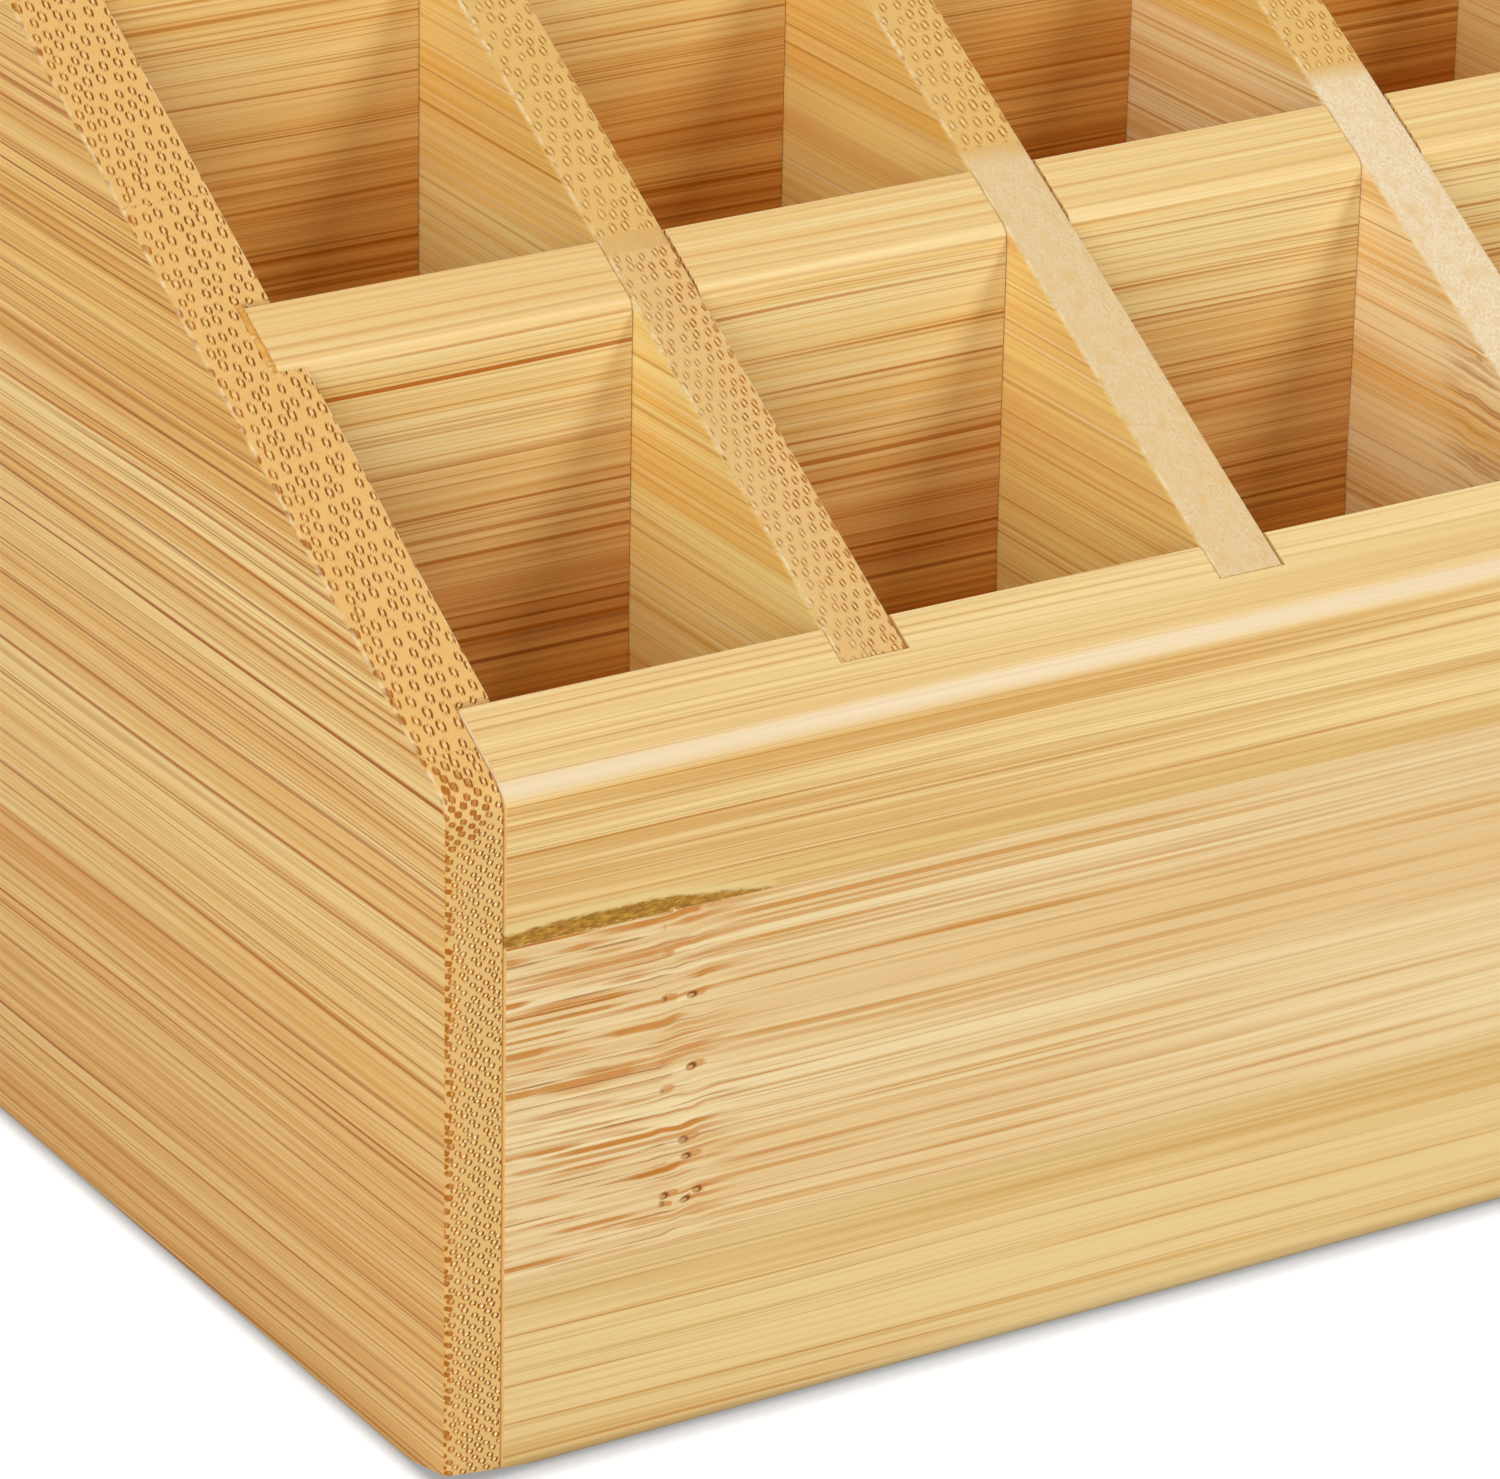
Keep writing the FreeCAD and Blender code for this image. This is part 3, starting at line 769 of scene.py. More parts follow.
    def join_faces_and_ends(self) -> None:
        """Choose face or end by how squarely the surface cuts the fibres, with pale sanded upper edges."""
        add = self.bench.add
        colour = add("Mix.RGBA", self.end, self.face, self.ends)
        begun = add("MapRange.SMOOTHSTEP", self.sideways, *self.EDGE_BEGINS)
        ended = add("MapRange.SMOOTHSTEP", self.sideways, *self.EDGE_ENDS, *FADE)
        scuff = add("MapRange", self.noise(self.SCUFF), *self.SCUFF_RANGE, 0.0, self.SCUFF_SHARE)
        edge = add("Math.MULTIPLY", begun, ended, scuff, self.upturned)
        colour = add("Mix.RGBA", edge, colour, linear_colour(self.finish.arris))
        # A pale band painted on the round lip stands in for its highlight.
        if self.finish.lip is not None:
            begun = add("MapRange.SMOOTHSTEP", self.upwards, *self.LIP_BEGINS)
            ended = add("MapRange.SMOOTHSTEP", self.upwards, *self.LIP_ENDS, *FADE)
            lip = add("Math.MULTIPLY", begun, ended, self.LIP_HIGHLIGHT_SHARE)
            colour = add("Mix.RGBA", lip, colour, linear_colour(self.finish.lip))
        self.colour = colour

    # Pits: their mean distance along the grain and up, how unevenly they stand, which of them open and how
    # near a knot, and their soft edge. Each is a torn pale fibre, a tan shadow, the hole and its lit side.
    PIT_CELL_MM = (2.6, 2.0)
    PIT_SCATTER = 0.95
    PIT_CHANCE = (0.35, 0.45)
    PIT_NEARNESS = (0.5, 0.9)
    PIT_EDGE = (0.65, 1.1)
    PIT_SPOTS = (Spot("f0deb4", 0.4, (-0.7, -0.05), (1.0, 0.2)),
                 Spot("c4803a", 0.7, (0.5, 0.05), (0.9, 0.34)),
                 Spot("74441c", 0.95, (0.0, 0.0), (0.46, 0.30)),
                 Spot("cf9f64", 0.85, (-0.13, -0.05), (0.32, 0.18)))

    def open_pits(self) -> None:
        """Break the fibres before a knot into short strokes, and open small pits in its band."""
        if not self.finish.knots:
            return
        add = self.bench.add
        colour = self.colour
        for strokes in self.finish.strokes:
            share = add("Math.MULTIPLY", self.rule_lines(strokes), self.broken)
            colour = add("Mix.RGBA", share, colour, linear_colour(strokes.colour))
        wide, tall = self.PIT_CELL_MM
        place = add("CombineXYZ", add("Math.MULTIPLY", self.along, 1 / wide),
                    add("Math.MULTIPLY", self.fibre_height, 1 / tall))
        cell = add("TexVoronoi.2D", place, Scale=1.0, Randomness=self.PIT_SCATTER).node.outputs
        offset = add("VectorMath.SUBTRACT", place, cell["Position"])
        offset = add("VectorMath.MULTIPLY", offset, (wide, tall, 1.0))
        luck = add("SeparateColor", cell["Color"])
        chosen = add("Math.MULTIPLY", add("MapRange.SMOOTHSTEP", luck, *self.PIT_CHANCE),
                     add("MapRange.SMOOTHSTEP", self.nearness, *self.PIT_NEARNESS))
        for spot in self.PIT_SPOTS:
            reach = add("VectorMath.SUBTRACT", offset, (*spot.shift_mm, 0.0))
            reach = add("VectorMath.DIVIDE", reach, (*spot.half_mm, 1.0))
            reach = add("VectorMath.LENGTH", reach)
            mark = add("MapRange.SMOOTHSTEP", reach, *self.PIT_EDGE, spot.share, 0.0)
            mark = add("Math.MULTIPLY", mark, chosen)
            colour = add("Mix.RGBA", mark, colour, linear_colour(spot.colour))
        self.colour = colour

    # A stain, in millimetres over its joint or over its own top: how ragged it is, how it thickens from the
    # board's end on, its soft foot, where its haze begins, its pale rim, its body and its frayed edge.
    GRIT = Cloud((0.9, 0.6, 0.3), detail=3.0)
    RAGGED_MM = 0.5
    STAIN_RISE_MM = (0.0, 5.0)
    STAIN_RISE = (0.8, 1.0)
    STAIN_FOOT_MM = (-0.04, 0.05)
    STAIN_PRESENT = (0.0, 0.12)
    HAZE_FROM_MM = 0.2
    HAZE_SHARE = 0.55
    STAIN_RIM_MM = (0.25, 0.9)
    STAIN_RIM_SHARE = 0.75
    STAIN_BODY_MM = (-0.16, 0.14)
    STAIN_BODY_SHARE = 0.92
    STAIN_MOTTLE = (0.36, 0.7)
    FRAY_MM = (0.05, 0.3)
    FRAY_RANGE = (0.56, 0.64)
    FRAY_SHARE = 0.8

    def lay_stain(self) -> None:
        """Lay the brown seam above its joint: frayed below, mottled, pale-rimmed above, in an olive haze."""
        stain = self.finish.stain
        if stain is None:
            return
        add = self.bench.add
        above = add("Math.ADD", self.height, -stain.joint_mm)
        grit = self.noise(self.GRIT)
        ragged = add("Math.MULTIPLY_ADD", grit, self.RAGGED_MM, -self.RAGGED_MM / 2)
        left = add("MapRange", self.along, stain.full_mm, stain.end_mm, *FADE)
        present = add("MapRange.SMOOTHSTEP", left, *self.STAIN_PRESENT)
        rise = add("MapRange.SMOOTHSTEP", self.along, *self.STAIN_RISE_MM, *self.STAIN_RISE)
        over = add("Math.SUBTRACT", above, add("Math.MULTIPLY", left, rise, stain.thick_mm))
        over = add("Math.ADD", over, ragged)
        foot = add("MapRange.SMOOTHSTEP", add("Math.ADD", above, ragged), *self.STAIN_FOOT_MM)
        haze = add("MapRange.SMOOTHSTEP", above, self.HAZE_FROM_MM, stain.haze_mm, self.HAZE_SHARE, 0.0)
        haze = add("Math.MULTIPLY", haze, foot)
        colour = add("Mix.RGBA", haze, self.colour, linear_colour(stain.haze))
        rim = add("MapRange.SMOOTHSTEP", over, *self.STAIN_RIM_MM, self.STAIN_RIM_SHARE, 0.0)
        rim = add("Math.MULTIPLY", rim, foot, present)
        colour = add("Mix.RGBA", rim, colour, linear_colour(stain.rim))
        mottle = add("MapRange.SMOOTHSTEP", grit, *self.STAIN_MOTTLE)
        brown = add("Mix.RGBA", mottle, linear_colour(stain.dark), linear_colour(stain.light))
        fray = add("MapRange.SMOOTHSTEP", grit, *self.FRAY_RANGE, 0.0, self.FRAY_SHARE)
        fray = add("Math.MULTIPLY", fray, add("MapRange.SMOOTHSTEP", above, *self.FRAY_MM, *FADE))
        brown = add("Mix.RGBA", fray, brown, linear_colour(stain.fray))
        body = add("MapRange.SMOOTHSTEP", over, *self.STAIN_BODY_MM, self.STAIN_BODY_SHARE, 0.0)
        body = add("Math.MULTIPLY", body, foot, present)
        self.colour = add("Mix.RGBA", body, colour, brown)

    # Lacquer: its IOR, its roughness over the range of the streaks and what cut ends add to that, its gloss
    # on upright faces, what cut ends leave of the gloss, and the relief of the grain, in which caps lie low.
    LACQUER_IOR = 1.5
    STREAK_RANGE = (0.3, 0.7)
    ROUGHNESS = (0.31, 0.4)
    END_ROUGHNESS = 0.2
    UPRIGHT_GLOSS = 0.06
    END_GLOSS = 0.3
    RELIEF_MM = 0.08
    RELIEF_SHARE = 0.15
    CAP_DIP = 0.6

    def lacquer(self) -> None:
        """Seal the wood under satin lacquer, thickest on what faces up and mostly soaked in by cut ends."""
        add = self.bench.add
        relief = add("Math.MULTIPLY_ADD", self.cap, -self.CAP_DIP, self.streak)
        normal = add("Bump", Strength=self.RELIEF_SHARE, Distance=self.RELIEF_MM * MM, Height=relief)
        rough = add("MapRange", self.streak, *self.STREAK_RANGE, *self.ROUGHNESS)
        rough = add("Math.MULTIPLY_ADD", self.end, self.END_ROUGHNESS, rough)
        coat = add("MapRange", self.upturned, *MASK, self.UPRIGHT_GLOSS, self.finish.gloss)
        soaked = add("MapRange", self.end, *MASK, 1.0, self.END_GLOSS)
        shader = add("BsdfPrincipled", Base_Color=self.colour, Roughness=rough, Normal=normal,
                     IOR=self.LACQUER_IOR, Specular_IOR_Level=add("Math.MULTIPLY", coat, soaked))
        add("OutputMaterial", shader)


def dress_board(frame: Dict[str, dict], node: str, finish: BambooFinish) -> None:
    """Give a CAD board its bamboo.

    Args:
        node: Name of the board.
        finish: Its finish.
    """
    board = frame["nodes"][node]
    board.data.materials.clear()
    board.data.materials.append(BambooMaterial(node, finish).build())
    LOG.info("%s dressed in %s", node, finish.name)


@dataclass
class OuterCase:
    """The side panels, the front panel and the back panel, glued from strips of cane.

    Attributes:
        strip_mm: Height of a whole strip.
        front_joint_mm: Height of the front panel's lower joint at its left end.
        front_shade_mm: Height at which the darker band below that joint starts.
        front_tilt: Fall of the front panel's joints towards the right.
        side_tilt: Fall of the side panels' joints towards the back.
        knot_mm: Where the front panel's knot is, from its left end.
        lip_mm: Height at which the front panel's round lip starts.
        strong_lines_mm: Height from which the side panels have a third set of lines.
        back_joint_mm: Height of the back panel's lowest joint.
        back_strips: How many strips the back panel has.
        back_knot_mm: Where the back panel's knot is, from its left end.
        back_knotted: Number of the strip that has it, from the bottom.
    """

    strip_mm: float = 25.0
    front_joint_mm: float = 14.4
    front_shade_mm: float = 12.2
    front_tilt: float = 0.007
    side_tilt: float = 0.012
    knot_mm: float = 14.0
    lip_mm: float = 47.8
    strong_lines_mm: float = 44.0
    back_joint_mm: float = 14.0
    back_strips: int = 5
    back_knot_mm: float = 130.0
    back_knotted: int = 3

    def build(self, frame: Dict[str, dict]) -> None:
        """Dress the four panels.
        """
        dress_board(frame, "left_side_panel", self.side_finish("bamboo_left_side", 1.0, Skin.LOW))
        dress_board(frame, "right_side_panel", self.side_finish("bamboo_right_side", 2.0, Skin.HIGH))
        dress_board(frame, "front_panel", self.front_finish())
        dress_board(frame, "back_panel", self.back_finish())

    def side_finish(self, name: str, seed: float, skin: Skin) -> BambooFinish:
        """Tan strips with orange-brown lines, skin outside, and a cluster of bundles at the front corner.

        Args:
            name: Name of the material.
            seed: The board's own number.
            skin: Its outer face.

        Returns:
            The finish of a side panel.
        """
        strips = (Strip(pale="ecc67e", gold="dca054", bundle_mm=0.88, row_mm=0.45, ring_mm=0.2),
                  Strip(start_mm=26.0, pale="f0ce88", gold="e2ae60", bundle_mm=0.88, row_mm=0.45,
                        ring_mm=0.2),
                  Strip(start_mm=52.6, pale="f3d48e", gold="e0aa5a"),
                  Strip(start_mm=64.0, pale="ecc270", gold="d8983e", blend_mm=8.0),
                  Strip(start_mm=78.0, pale="ecc274", gold="d8963e"),
                  Strip(start_mm=104.0, pale="ecc274", gold="d8963e"))
        lines = (Lines("b0722c", 0.28, 0.13, 30.0, 0.6), Lines("b05c0a", 0.95, 0.34, 80.0, 1.0),
                 Lines("a25402", 1.2, 0.24, 90.0, 1.0, low_mm=self.strong_lines_mm))
        return BambooFinish(name, Grain.FRONT_TO_BACK, seed, skin, self.side_tilt, strips, lines,
                            cluster=Cluster(height_mm=49.8, half_mm=2.7, depth_mm=3.7))

    def front_finish(self) -> BambooFinish:
        """Three strips, with a knot in the middle one and a brown seam above it.

        Returns:
            The finish of the front panel.
        """
        low_joint = self.front_joint_mm
        top_joint = low_joint + self.strip_mm
        strips = (Strip(pale="dfc48c", gold="cea664", depth=0.0),
                  Strip(self.front_shade_mm, pale="d8bc82", gold="caa463", depth=0.0, blend_mm=1.8),
                  Strip(low_joint, pale="e4ce9e", gold="dbba84", depth=0.0, blend_mm=1.1),
                  Strip(top_joint, pale="e8cc90", gold="cc9e5a", depth=0.0))
        lines = (Lines("a2743a", 0.26, 0.12, 25.0, 0.7, top_joint, self.lip_mm),
                 Lines("bc7e24", 0.55, 0.2, 60.0, 1.0, low_mm=self.lip_mm),
                 Lines("b8843e", 0.34, 0.13, 25.0, 0.45, high_mm=top_joint),
                 Lines("c08232", 0.8, 0.5, 30.0, 0.85, low_joint, top_joint),
                 Lines("b87428", 1.4, 0.26, 45.0, 0.8))
        # Its round lip gets a painted highlight.
        return BambooFinish("bamboo_front", Grain.ACROSS, 3.0, Skin.LOW, self.front_tilt, strips, lines,
                            # Its top is paled by a painted sheen.
                            lip="dccbb0", gloss=0.18, tan_left_under_sheen=0.5, calm_mm=(20.0, 80.0),
                            knots=(Knot(self.knot_mm, low_joint, top_joint),),
                            stain=Stain(top_joint, full_mm=12.0, end_mm=21.5))

    def back_finish(self) -> BambooFinish:
        """Five strips, with a knot in one of them.

        Returns:
            The finish of the back panel.
        """
        joints = [self.back_joint_mm + self.strip_mm * (rank - 1) for rank in range(self.back_strips + 1)]
        strips = tuple(Strip(joint) for joint in joints[:-1])
        knot = Knot(self.back_knot_mm, *joints[self.back_knotted - 1:self.back_knotted + 1])
        return BambooFinish("bamboo_back", Grain.ACROSS, 4.0, Skin.HIGH, strips=strips, knots=(knot,))


@dataclass
class CompartmentGrid:
    """The cross rails and the dividers that are halved into each other.

    Attributes:
        rails: How many rails there are.
        dividers: How many dividers there are.
        knotted: The divider that has a knot near its front.
        painted_shade_mm: Height of the middle of the change from painted shade to gold on a rail, before its
            step.
        painted_shade_step_mm: How much higher that is for each rail.
        painted_shade_blend_mm: How far the change takes.
        joint_mm: Height at which a divider's golden upper strip starts, before its step.
        joint_step_mm: How much higher that is for each divider.
        rail_seed: Number that the rails' own numbers are added to.
        divider_seed: Number that the dividers' own numbers are added to.
        cream: Colour of each divider's front strip on its sloped top.
        faces: Colour of that strip on the divider's sides.
    """

    rails: int = 3
    dividers: int = 5
    knotted: int = 3
    painted_shade_mm: float = 32.0
    painted_shade_step_mm: float = 18.0
    painted_shade_blend_mm: float = 24.0
    joint_mm: float = 71.2
    joint_step_mm: float = 0.8
    rail_seed: float = 10.0
    divider_seed: float = 20.0
    cream: Tuple[str, ...] = ("dab478", "dac298", "e3d2b2", "dfc69a", "e3cca6")
    faces: Tuple[str, ...] = ("fae294", "f8d986", "fbe4b0", "f8da94", "f8dc98")

    def build(self, frame: Dict[str, dict]) -> None:
        """Dress every rail and divider.
        """
        for number in range(1, self.rails + 1):
            dress_board(frame, f"cross_rail_{number}", self.rail_finish(number))
        for number in range(1, self.dividers + 1):
            dress_board(frame, f"divider_{number}", self.divider_finish(number))

    def rail_finish(self, number: int) -> BambooFinish:
        """Strongly striped: painted shade orange below, golden above, palest on the first rail, painted
        sheen on top.

        Args:
            number: The rail's number, from the front.

        Returns:
            The rail's finish.
        """
        change = self.painted_shade_mm + self.painted_shade_step_mm * number
        pale, gold = ("efd698", "e6bc70") if number == 1 else ("ecca84", "e0ac5a")
        # The lower strip and its dark lines are painted shade, darker towards the compartments' floor.
        strips = (Strip(pale="e8961c", gold="c25c04"),
                  Strip(change, pale=pale, gold=gold, blend_mm=self.painted_shade_blend_mm))
        lines = (Lines("b66c12", 0.34, 0.15, 40.0, 0.6), Lines("b46002", 1.3, 0.36, 80.0, 0.95),
                 Lines("8e3c02", 1.1, 0.4, 60.0, 0.7, high_mm=change))
        # The rail's top is greyed by a painted sheen.
        return BambooFinish(f"bamboo_rail_{number}", Grain.ACROSS, self.rail_seed + number, strips=strips,
                            lines=lines, top="ccb48c", gloss=0.12, top_lines=0.3)

    def divider_finish(self, number: int) -> BambooFinish:
        """Golden strips: bundles show all along the first divider, and the others' front strip is pale.

        Args:
            number: The divider's number, from the left.

        Returns:
            The divider's finish.
        """
        joint = self.joint_mm + self.joint_step_mm * number
        cream = self.cream[number - 1]
        face = self.faces[number - 1]
        golden = Strip(joint, pale="f6d284", gold="eeb95a", end="d8b06a", depth=0.75, inner=0.7,
                       blend_mm=0.9)
        if number == 1:
            front = Strip(pale=face, gold="f4c66c", end=cream, inner=0.5, bundle_mm=0.8, row_mm=0.55,
                          ring_mm=0.175)
        else:
            front = Strip(pale=face, gold="f0c072", end=cream, depth=0.1, inner=0.2)
        lines = (Lines("c48630", 0.34, 0.14, 30.0, 0.4), Lines("fae0a8", 1.7, 0.3, 60.0, 0.75),
                 Lines("c87e20", 1.3, 0.28, 50.0, 0.65))
        knot = Knot(place_mm=12.5, low_mm=46.0, high_mm=62.0, broken_mm=9.0, share=0.62)
        return BambooFinish(f"bamboo_divider_{number}", Grain.FRONT_TO_BACK, self.divider_seed + number,
                            Skin.HIGH, strips=(front, golden), lines=lines, end_cap="9c5a0c",
                            end_skin="b06c1e", knots=(knot,) if number == self.knotted else ())


@dataclass
class BaseTray:
    """The thin board that closes the compartments below.

    Attributes:
        seed: The board's own number.
    """

    seed: float = 5.0

    def build(self, frame: Dict[str, dict]) -> None:
        """Dress the base board."""
        dress_board(frame, "base_board", BambooFinish("bamboo_base", Grain.ACROSS, self.seed))


@dataclass(frozen=True)
class GlueFinish:
    """Wood glue that was squeezed out and dried: amber, a little glossy, with pale crumbs of sanding dust.

    Attributes:
        amber: Its colour where it is thin.
        brown: Its colour where it is thick.
        crumb: Colour of the crumbs.
        blotch_mm: Size of the thick and thin places.
        blotch_range: Noise range from thin to thick.
        crumb_mm: Distance between crumbs.
        crumb_range: Noise range from bare glue to crumbs.
        crumb_share: How strongly the crumbs show.
        roughness: Roughness of bare glue and of crumbs.
        relief_mm: Height of the blotches.
        relief_share: How strongly they show.
        ior: Index of refraction of dried glue.
    """

    amber: str = "e8b35c"
    brown: str = "d09440"
    crumb: str = "f0d8a2"
    blotch_mm: float = 0.9
    blotch_range: Span = (0.35, 0.65)
    crumb_mm: float = 0.45
    crumb_range: Span = (0.6, 0.7)
    crumb_share: float = 0.7
    roughness: Span = (0.3, 0.6)
    relief_mm: float = 0.05
    relief_share: float = 0.3
    ior: float = 1.47

    def build(self) -> bpy.types.Material:
        """Put the node tree together.

        Returns:
            The material.
        """
        material = bpy.data.materials.new("cured_wood_glue")
        add = NodeBench(material).add
        point = add("TexCoord", output="Object")
        blotch = add("TexNoise", point, Scale=MM_PER_METRE / self.blotch_mm, Detail=2.0)
        thick = add("MapRange", blotch, *self.blotch_range)
        colour = add("Mix.RGBA", thick, linear_colour(self.amber), linear_colour(self.brown))
        dust = add("TexNoise", point, Scale=MM_PER_METRE / self.crumb_mm, Detail=1.0)
        dust = add("MapRange.SMOOTHSTEP", dust, *self.crumb_range, 0.0, self.crumb_share)
        colour = add("Mix.RGBA", dust, colour, linear_colour(self.crumb))
        rough = add("MapRange", dust, *MASK, *self.roughness)
        normal = add("Bump", Strength=self.relief_share, Distance=self.relief_mm * MM, Height=blotch)
        shader = add("BsdfPrincipled", Base_Color=colour, Roughness=rough, Normal=normal, IOR=self.ior)
        add("OutputMaterial", shader)
        return material


@dataclass
class GlueBeads:
    """The glue that fills the gaps between the rails' ends and their housings.

    Attributes:
        rails: How many rails there are.
        gap_mm: Width of a gap.
        slack_mm: What a bead leaves free of the wood on each side.
        sink_mm: How far a bead's top lies below the tops of the boards.
        deep_mm: How far down a bead reaches.
        rim_mm: Width of the rim that sticks to the wood.
        hollow_mm: How far the middle has shrunk below the rim.
        lump_mm: How uneven the top is.
        cuts: How often the top is divided.
        front_mm: Height of the boards' tops over the organizer's front face.
        slope: Angle of the boards' tops.
    """

    rails: int = 3
    gap_mm: float = 0.6
    slack_mm: float = 0.01
    sink_mm: float = 0.08
    deep_mm: float = 9.0
    rim_mm: float = 0.07
    hollow_mm: float = 0.08
    lump_mm: float = 0.05
    cuts: int = 9
    front_mm: float = 50.4
    slope: float = math.radians(30.8)

    def build(self) -> None:
        """Model a bead at both ends of every rail and dress it."""
        material = GlueFinish().build()
        half_gap = self.gap_mm * MM / 2
        for number in range(1, self.rails + 1):
            low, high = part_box(f"cross_rail_{number}")
            for side, middle in (("left", low[0] - half_gap), ("right", high[0] + half_gap)):
                bead = self.model_bead(Vector((middle, (low[1] + high[1]) / 2, 0)), high[1] - low[1], number)
                bead.name = f"glue_bead_{number}_{side}"
                bead.data.materials.append(material)
                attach(bead, "root")
                LOG.info("%s modelled", bead.name)

    def model_bead(self, middle: Vector, length: float, seed: int) -> bpy.types.Object:
        """Cut a bar to the slope of the tops, then shrink and roughen its top.

        Args:
            middle: Middle of the gap, in metres.
            length: Thickness of the rail, in metres.
            seed: Number that sets this bead's lumps apart from the others'.

        Returns:
            The bead.
        """
        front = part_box("front_panel")[0][1]
        top = (self.front_mm - self.sink_mm) * MM + (middle.y - front) * math.tan(self.slope)
        size = ((self.gap_mm - 2 * self.slack_mm) * MM, length, 2 * self.deep_mm * MM)
        bpy.ops.object.select_all(action="DESELECT")
        bpy.ops.mesh.primitive_cube_add(size=1.0)
        bead = bpy.context.active_object
        bpy.ops.object.mode_set(mode="EDIT")
        bpy.ops.mesh.select_all(action="SELECT")
        bpy.ops.transform.resize(value=size, center_override=(0, 0, 0))
        bpy.ops.transform.translate(value=(middle.x, middle.y, top))
        bpy.ops.mesh.bisect(plane_co=(middle.x, middle.y, top),
                            plane_no=(0, -math.sin(self.slope), math.cos(self.slope)),
                            use_fill=True, clear_outer=True)
        bpy.ops.mesh.inset(thickness=self.rim_mm * MM, depth=-self.hollow_mm * MM)
        bpy.ops.mesh.subdivide(number_cuts=self.cuts)
        bpy.ops.transform.vertex_random(offset=self.lump_mm * MM, seed=seed)
        bpy.ops.mesh.select_all(action="SELECT")
        bpy.ops.mesh.normals_make_consistent(inside=False)
        bpy.ops.object.mode_set(mode="OBJECT")
        bpy.ops.object.shade_smooth_by_angle()
        return bead


@dataclass
class PhotoCamera:
    """The camera that stands where the photograph was taken from.

    Attributes:
        place_mm: Where the camera stands.
        aim_mm: A point on the middle of its view.
        roll_degrees: Its turn about the line of sight.
        lens_mm: Focal length on a sensor of sensor_mm.
        sensor_mm: Width of the sensor.
        near_mm: Distance from which on it sees things.
    """

    place_mm: Point = (-325.5, -471.2, 257.5)
    aim_mm: Point = (-73.75, -64.65, 50.5)
    roll_degrees: float = 1.09
    lens_mm: float = 188.9
    sensor_mm: float = 36.0
    near_mm: float = 10.0

    def build(self) -> None:
        """Add the camera and make it the scene's own."""
        data = bpy.data.cameras.new("photo_camera")
        data.sensor_width = self.sensor_mm
        data.lens = self.lens_mm
        data.clip_start = self.near_mm * MM
        camera = bpy.data.objects.new("photo_camera", data)
        place = Vector(self.place_mm) * MM
        sight = Vector(self.aim_mm) * MM - place
        roll = Matrix.Rotation(math.radians(self.roll_degrees), 3, "Z")
        turn = sight.to_track_quat("-Z", "Y").to_matrix() @ roll
        camera.matrix_world = Matrix.Translation(place) @ turn.to_4x4()
        bpy.context.scene.collection.objects.link(camera)
        bpy.context.scene.camera = camera


@dataclass(frozen=True)
class SoftLamp:
    """A soft box that faces the organizer.

    Attributes:
        name: Name of the lamp.
        place: Where it hangs, in metres.
        wide: Its width, in metres.
        tall: Its height, in metres.
        roll_degrees: Its turn about the line to the organizer.
        level: How brightly it lights a white sheet that faces it, where 1 is white.
        aim: The point that it faces, in metres.
    """

    name: str
    place: Point
    wide: float
    tall: float
    roll_degrees: float
    level: float
    aim: Point = (0.0, 0.0, 0.05)

    def build(self) -> None:
        """Hang the lamp."""
        sight = Vector(self.aim) - Vector(self.place)
        data = bpy.data.lights.new(self.name, "AREA")
        data.shape = "RECTANGLE"
        data.size = self.wide
        data.size_y = self.tall
        data.energy = self.level * math.pi ** 2 * sight.length_squared
        lamp = bpy.data.objects.new(self.name, data)
        turn = sight.to_track_quat("-Z", "Y").to_matrix().to_4x4()
        roll = Matrix.Rotation(math.radians(self.roll_degrees), 4, "Z")
        lamp.matrix_world = Matrix.Translation(self.place) @ turn @ roll
        bpy.context.scene.collection.objects.link(lamp)


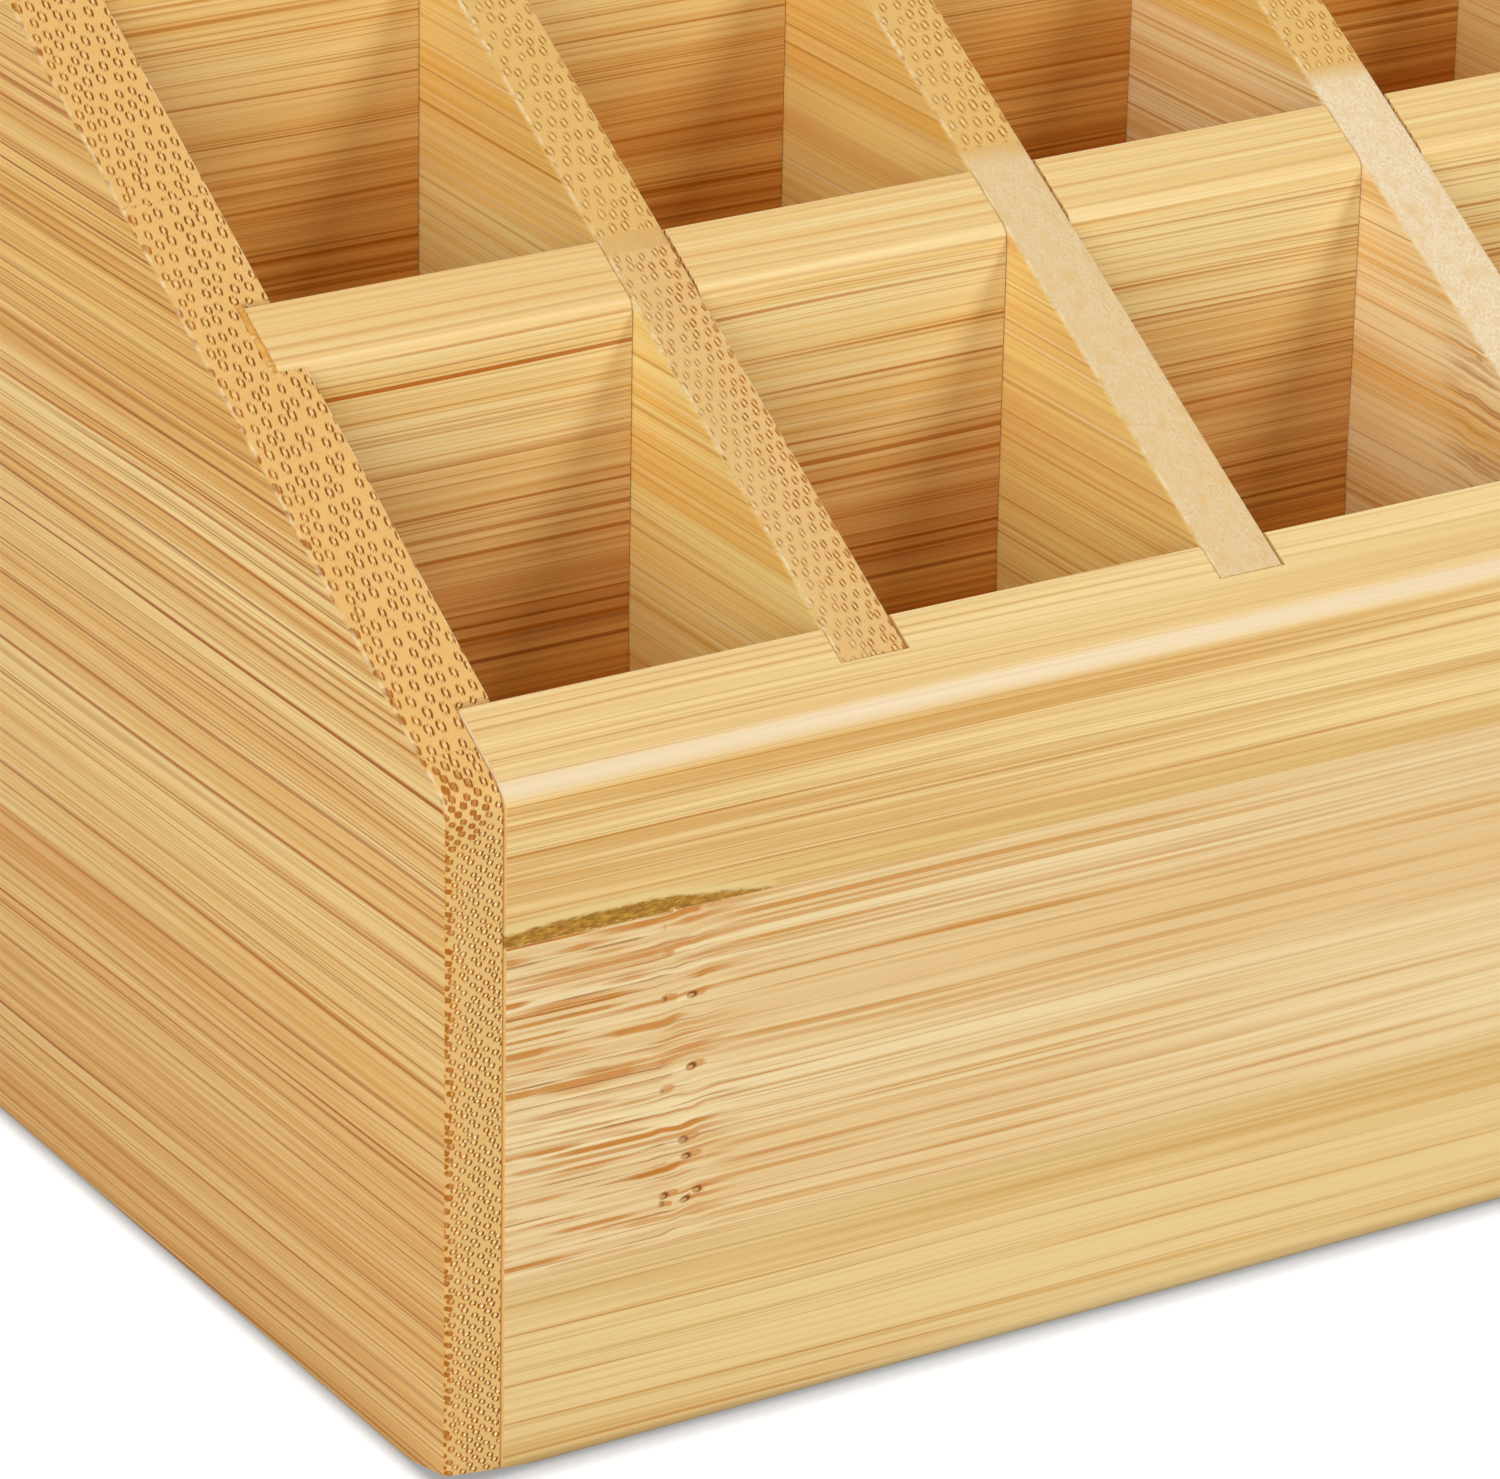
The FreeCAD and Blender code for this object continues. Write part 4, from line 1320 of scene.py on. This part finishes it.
@dataclass
class Studio:
    """White table and soft light.

    Attributes:
        table_m: Width of the table.
        table: Colour of the table.
        table_seen: Its colour where the camera sees it, before its glow.
        table_glow: What the camera's own view of the table gets on top of its light, to make it white.
        table_roughness: Roughness of the matt laminate.
        shadow: Colour of the table where its painted contact shadow is darkest.
        contact_mm: How far the painted contact shadow reaches in front of the organizer's front edge.
        contact_beside_mm: How far it reaches beside the organizer, where it is painted narrower.
        open_range: Share of open sky over the table where the shadow is full and where it ends.
        open_light: Share of the light that is left there.
        open_samples: Rays that find the share of open sky.
        surround: Level of the light from all around.
        lamps: The lamps.
    """

    table_m: float = 6.0
    table: str = "ededed"
    table_seen: str = "b4b4b4"
    table_glow: float = 1.0
    table_roughness: float = 0.7
    shadow: str = "606468"
    contact_mm: float = 4.8
    contact_beside_mm: float = 2.2
    open_range: Span = (0.45, 0.95)
    open_light: Span = (0.3, 1.0)
    open_samples: int = 8
    surround: float = 0.03
    lamps: Tuple[SoftLamp, ...] = (SoftLamp("key_lamp", (0.63, -0.66, 0.97), 0.42, 1.1, -34.5, 0.71),
                                   SoftLamp("fill_lamp", (-1.01, -0.74, 0.70), 1.4, 1.4, 0.0, 0.90),
                                   SoftLamp("back_lamp", (0.95, 1.35, 0.85), 1.2, 1.2, 0.0, 0.6))

    def build(self) -> None:
        """Add the table, the light from all around and the lamps."""
        self.add_table()
        self.add_surround()
        for lamp in self.lamps:
            lamp.build()

    def add_table(self) -> None:
        """Add a white table top of smooth matt laminate that keeps the organizer's shadow, and paint a
        contact shadow.
        """
        bpy.ops.object.select_all(action="DESELECT")
        bpy.ops.mesh.primitive_plane_add(size=self.table_m)
        table = bpy.context.active_object
        table.name = "table_top"
        laminate = bpy.data.materials.new("white_laminate")
        add = NodeBench(laminate).add
        path = add("LightPath").node.outputs
        seen = add("Math.MAXIMUM", path["Is Camera Ray"], path["Is Glossy Ray"], path["Is Transmission Ray"])
        across = add("SeparateXYZ", add("TexCoord", output="Object"))
        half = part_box("front_panel")[1][0]
        reach = add("MapRange", add("Math.ABSOLUTE", across), half, half + self.contact_mm * MM,
                    self.contact_mm * MM, self.contact_beside_mm * MM)
        # The contact shadow is painted where little open sky reaches the table.
        open_share = add("AmbientOcclusion", Distance=reach, output="AO")
        open_share.node.samples = self.open_samples
        open_share = add("MapRange", open_share, *self.open_range, *self.open_light)
        glow = add("Math.MULTIPLY", seen, self.table_glow, open_share)
        colour = add("Mix.RGBA", seen, linear_colour(self.table), linear_colour(self.table_seen))
        colour = add("Mix.RGBA", open_share, linear_colour(self.shadow), colour)
        shader = add("BsdfPrincipled", Base_Color=colour, Roughness=self.table_roughness,
                     Emission_Color=WHITE, Emission_Strength=glow)
        add("OutputMaterial", shader)
        table.data.materials.append(laminate)

    def add_surround(self) -> None:
        """Add even light from all around, white where the camera sees it."""
        world = bpy.data.worlds.new("studio")
        bpy.context.scene.world = world
        add = NodeBench(world).add
        level = add("MapRange", add("LightPath", output="Is Camera Ray"), *MASK, self.surround, 1.0)
        add("OutputWorld", add("Background", Color=WHITE, Strength=level))


def main() -> None:
    """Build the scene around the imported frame."""
    logging.basicConfig(level=logging.INFO)
    for stale in list(bpy.data.objects):
        bpy.data.objects.remove(stale)
    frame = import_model()
    for assembly in (OuterCase(), CompartmentGrid(), BaseTray()):
        assembly.build(frame)
    GlueBeads().build()
    PhotoCamera().build()
    Studio().build()
    bpy.context.scene.view_settings.view_transform = "Standard"


if __name__ == "__main__":
    main()
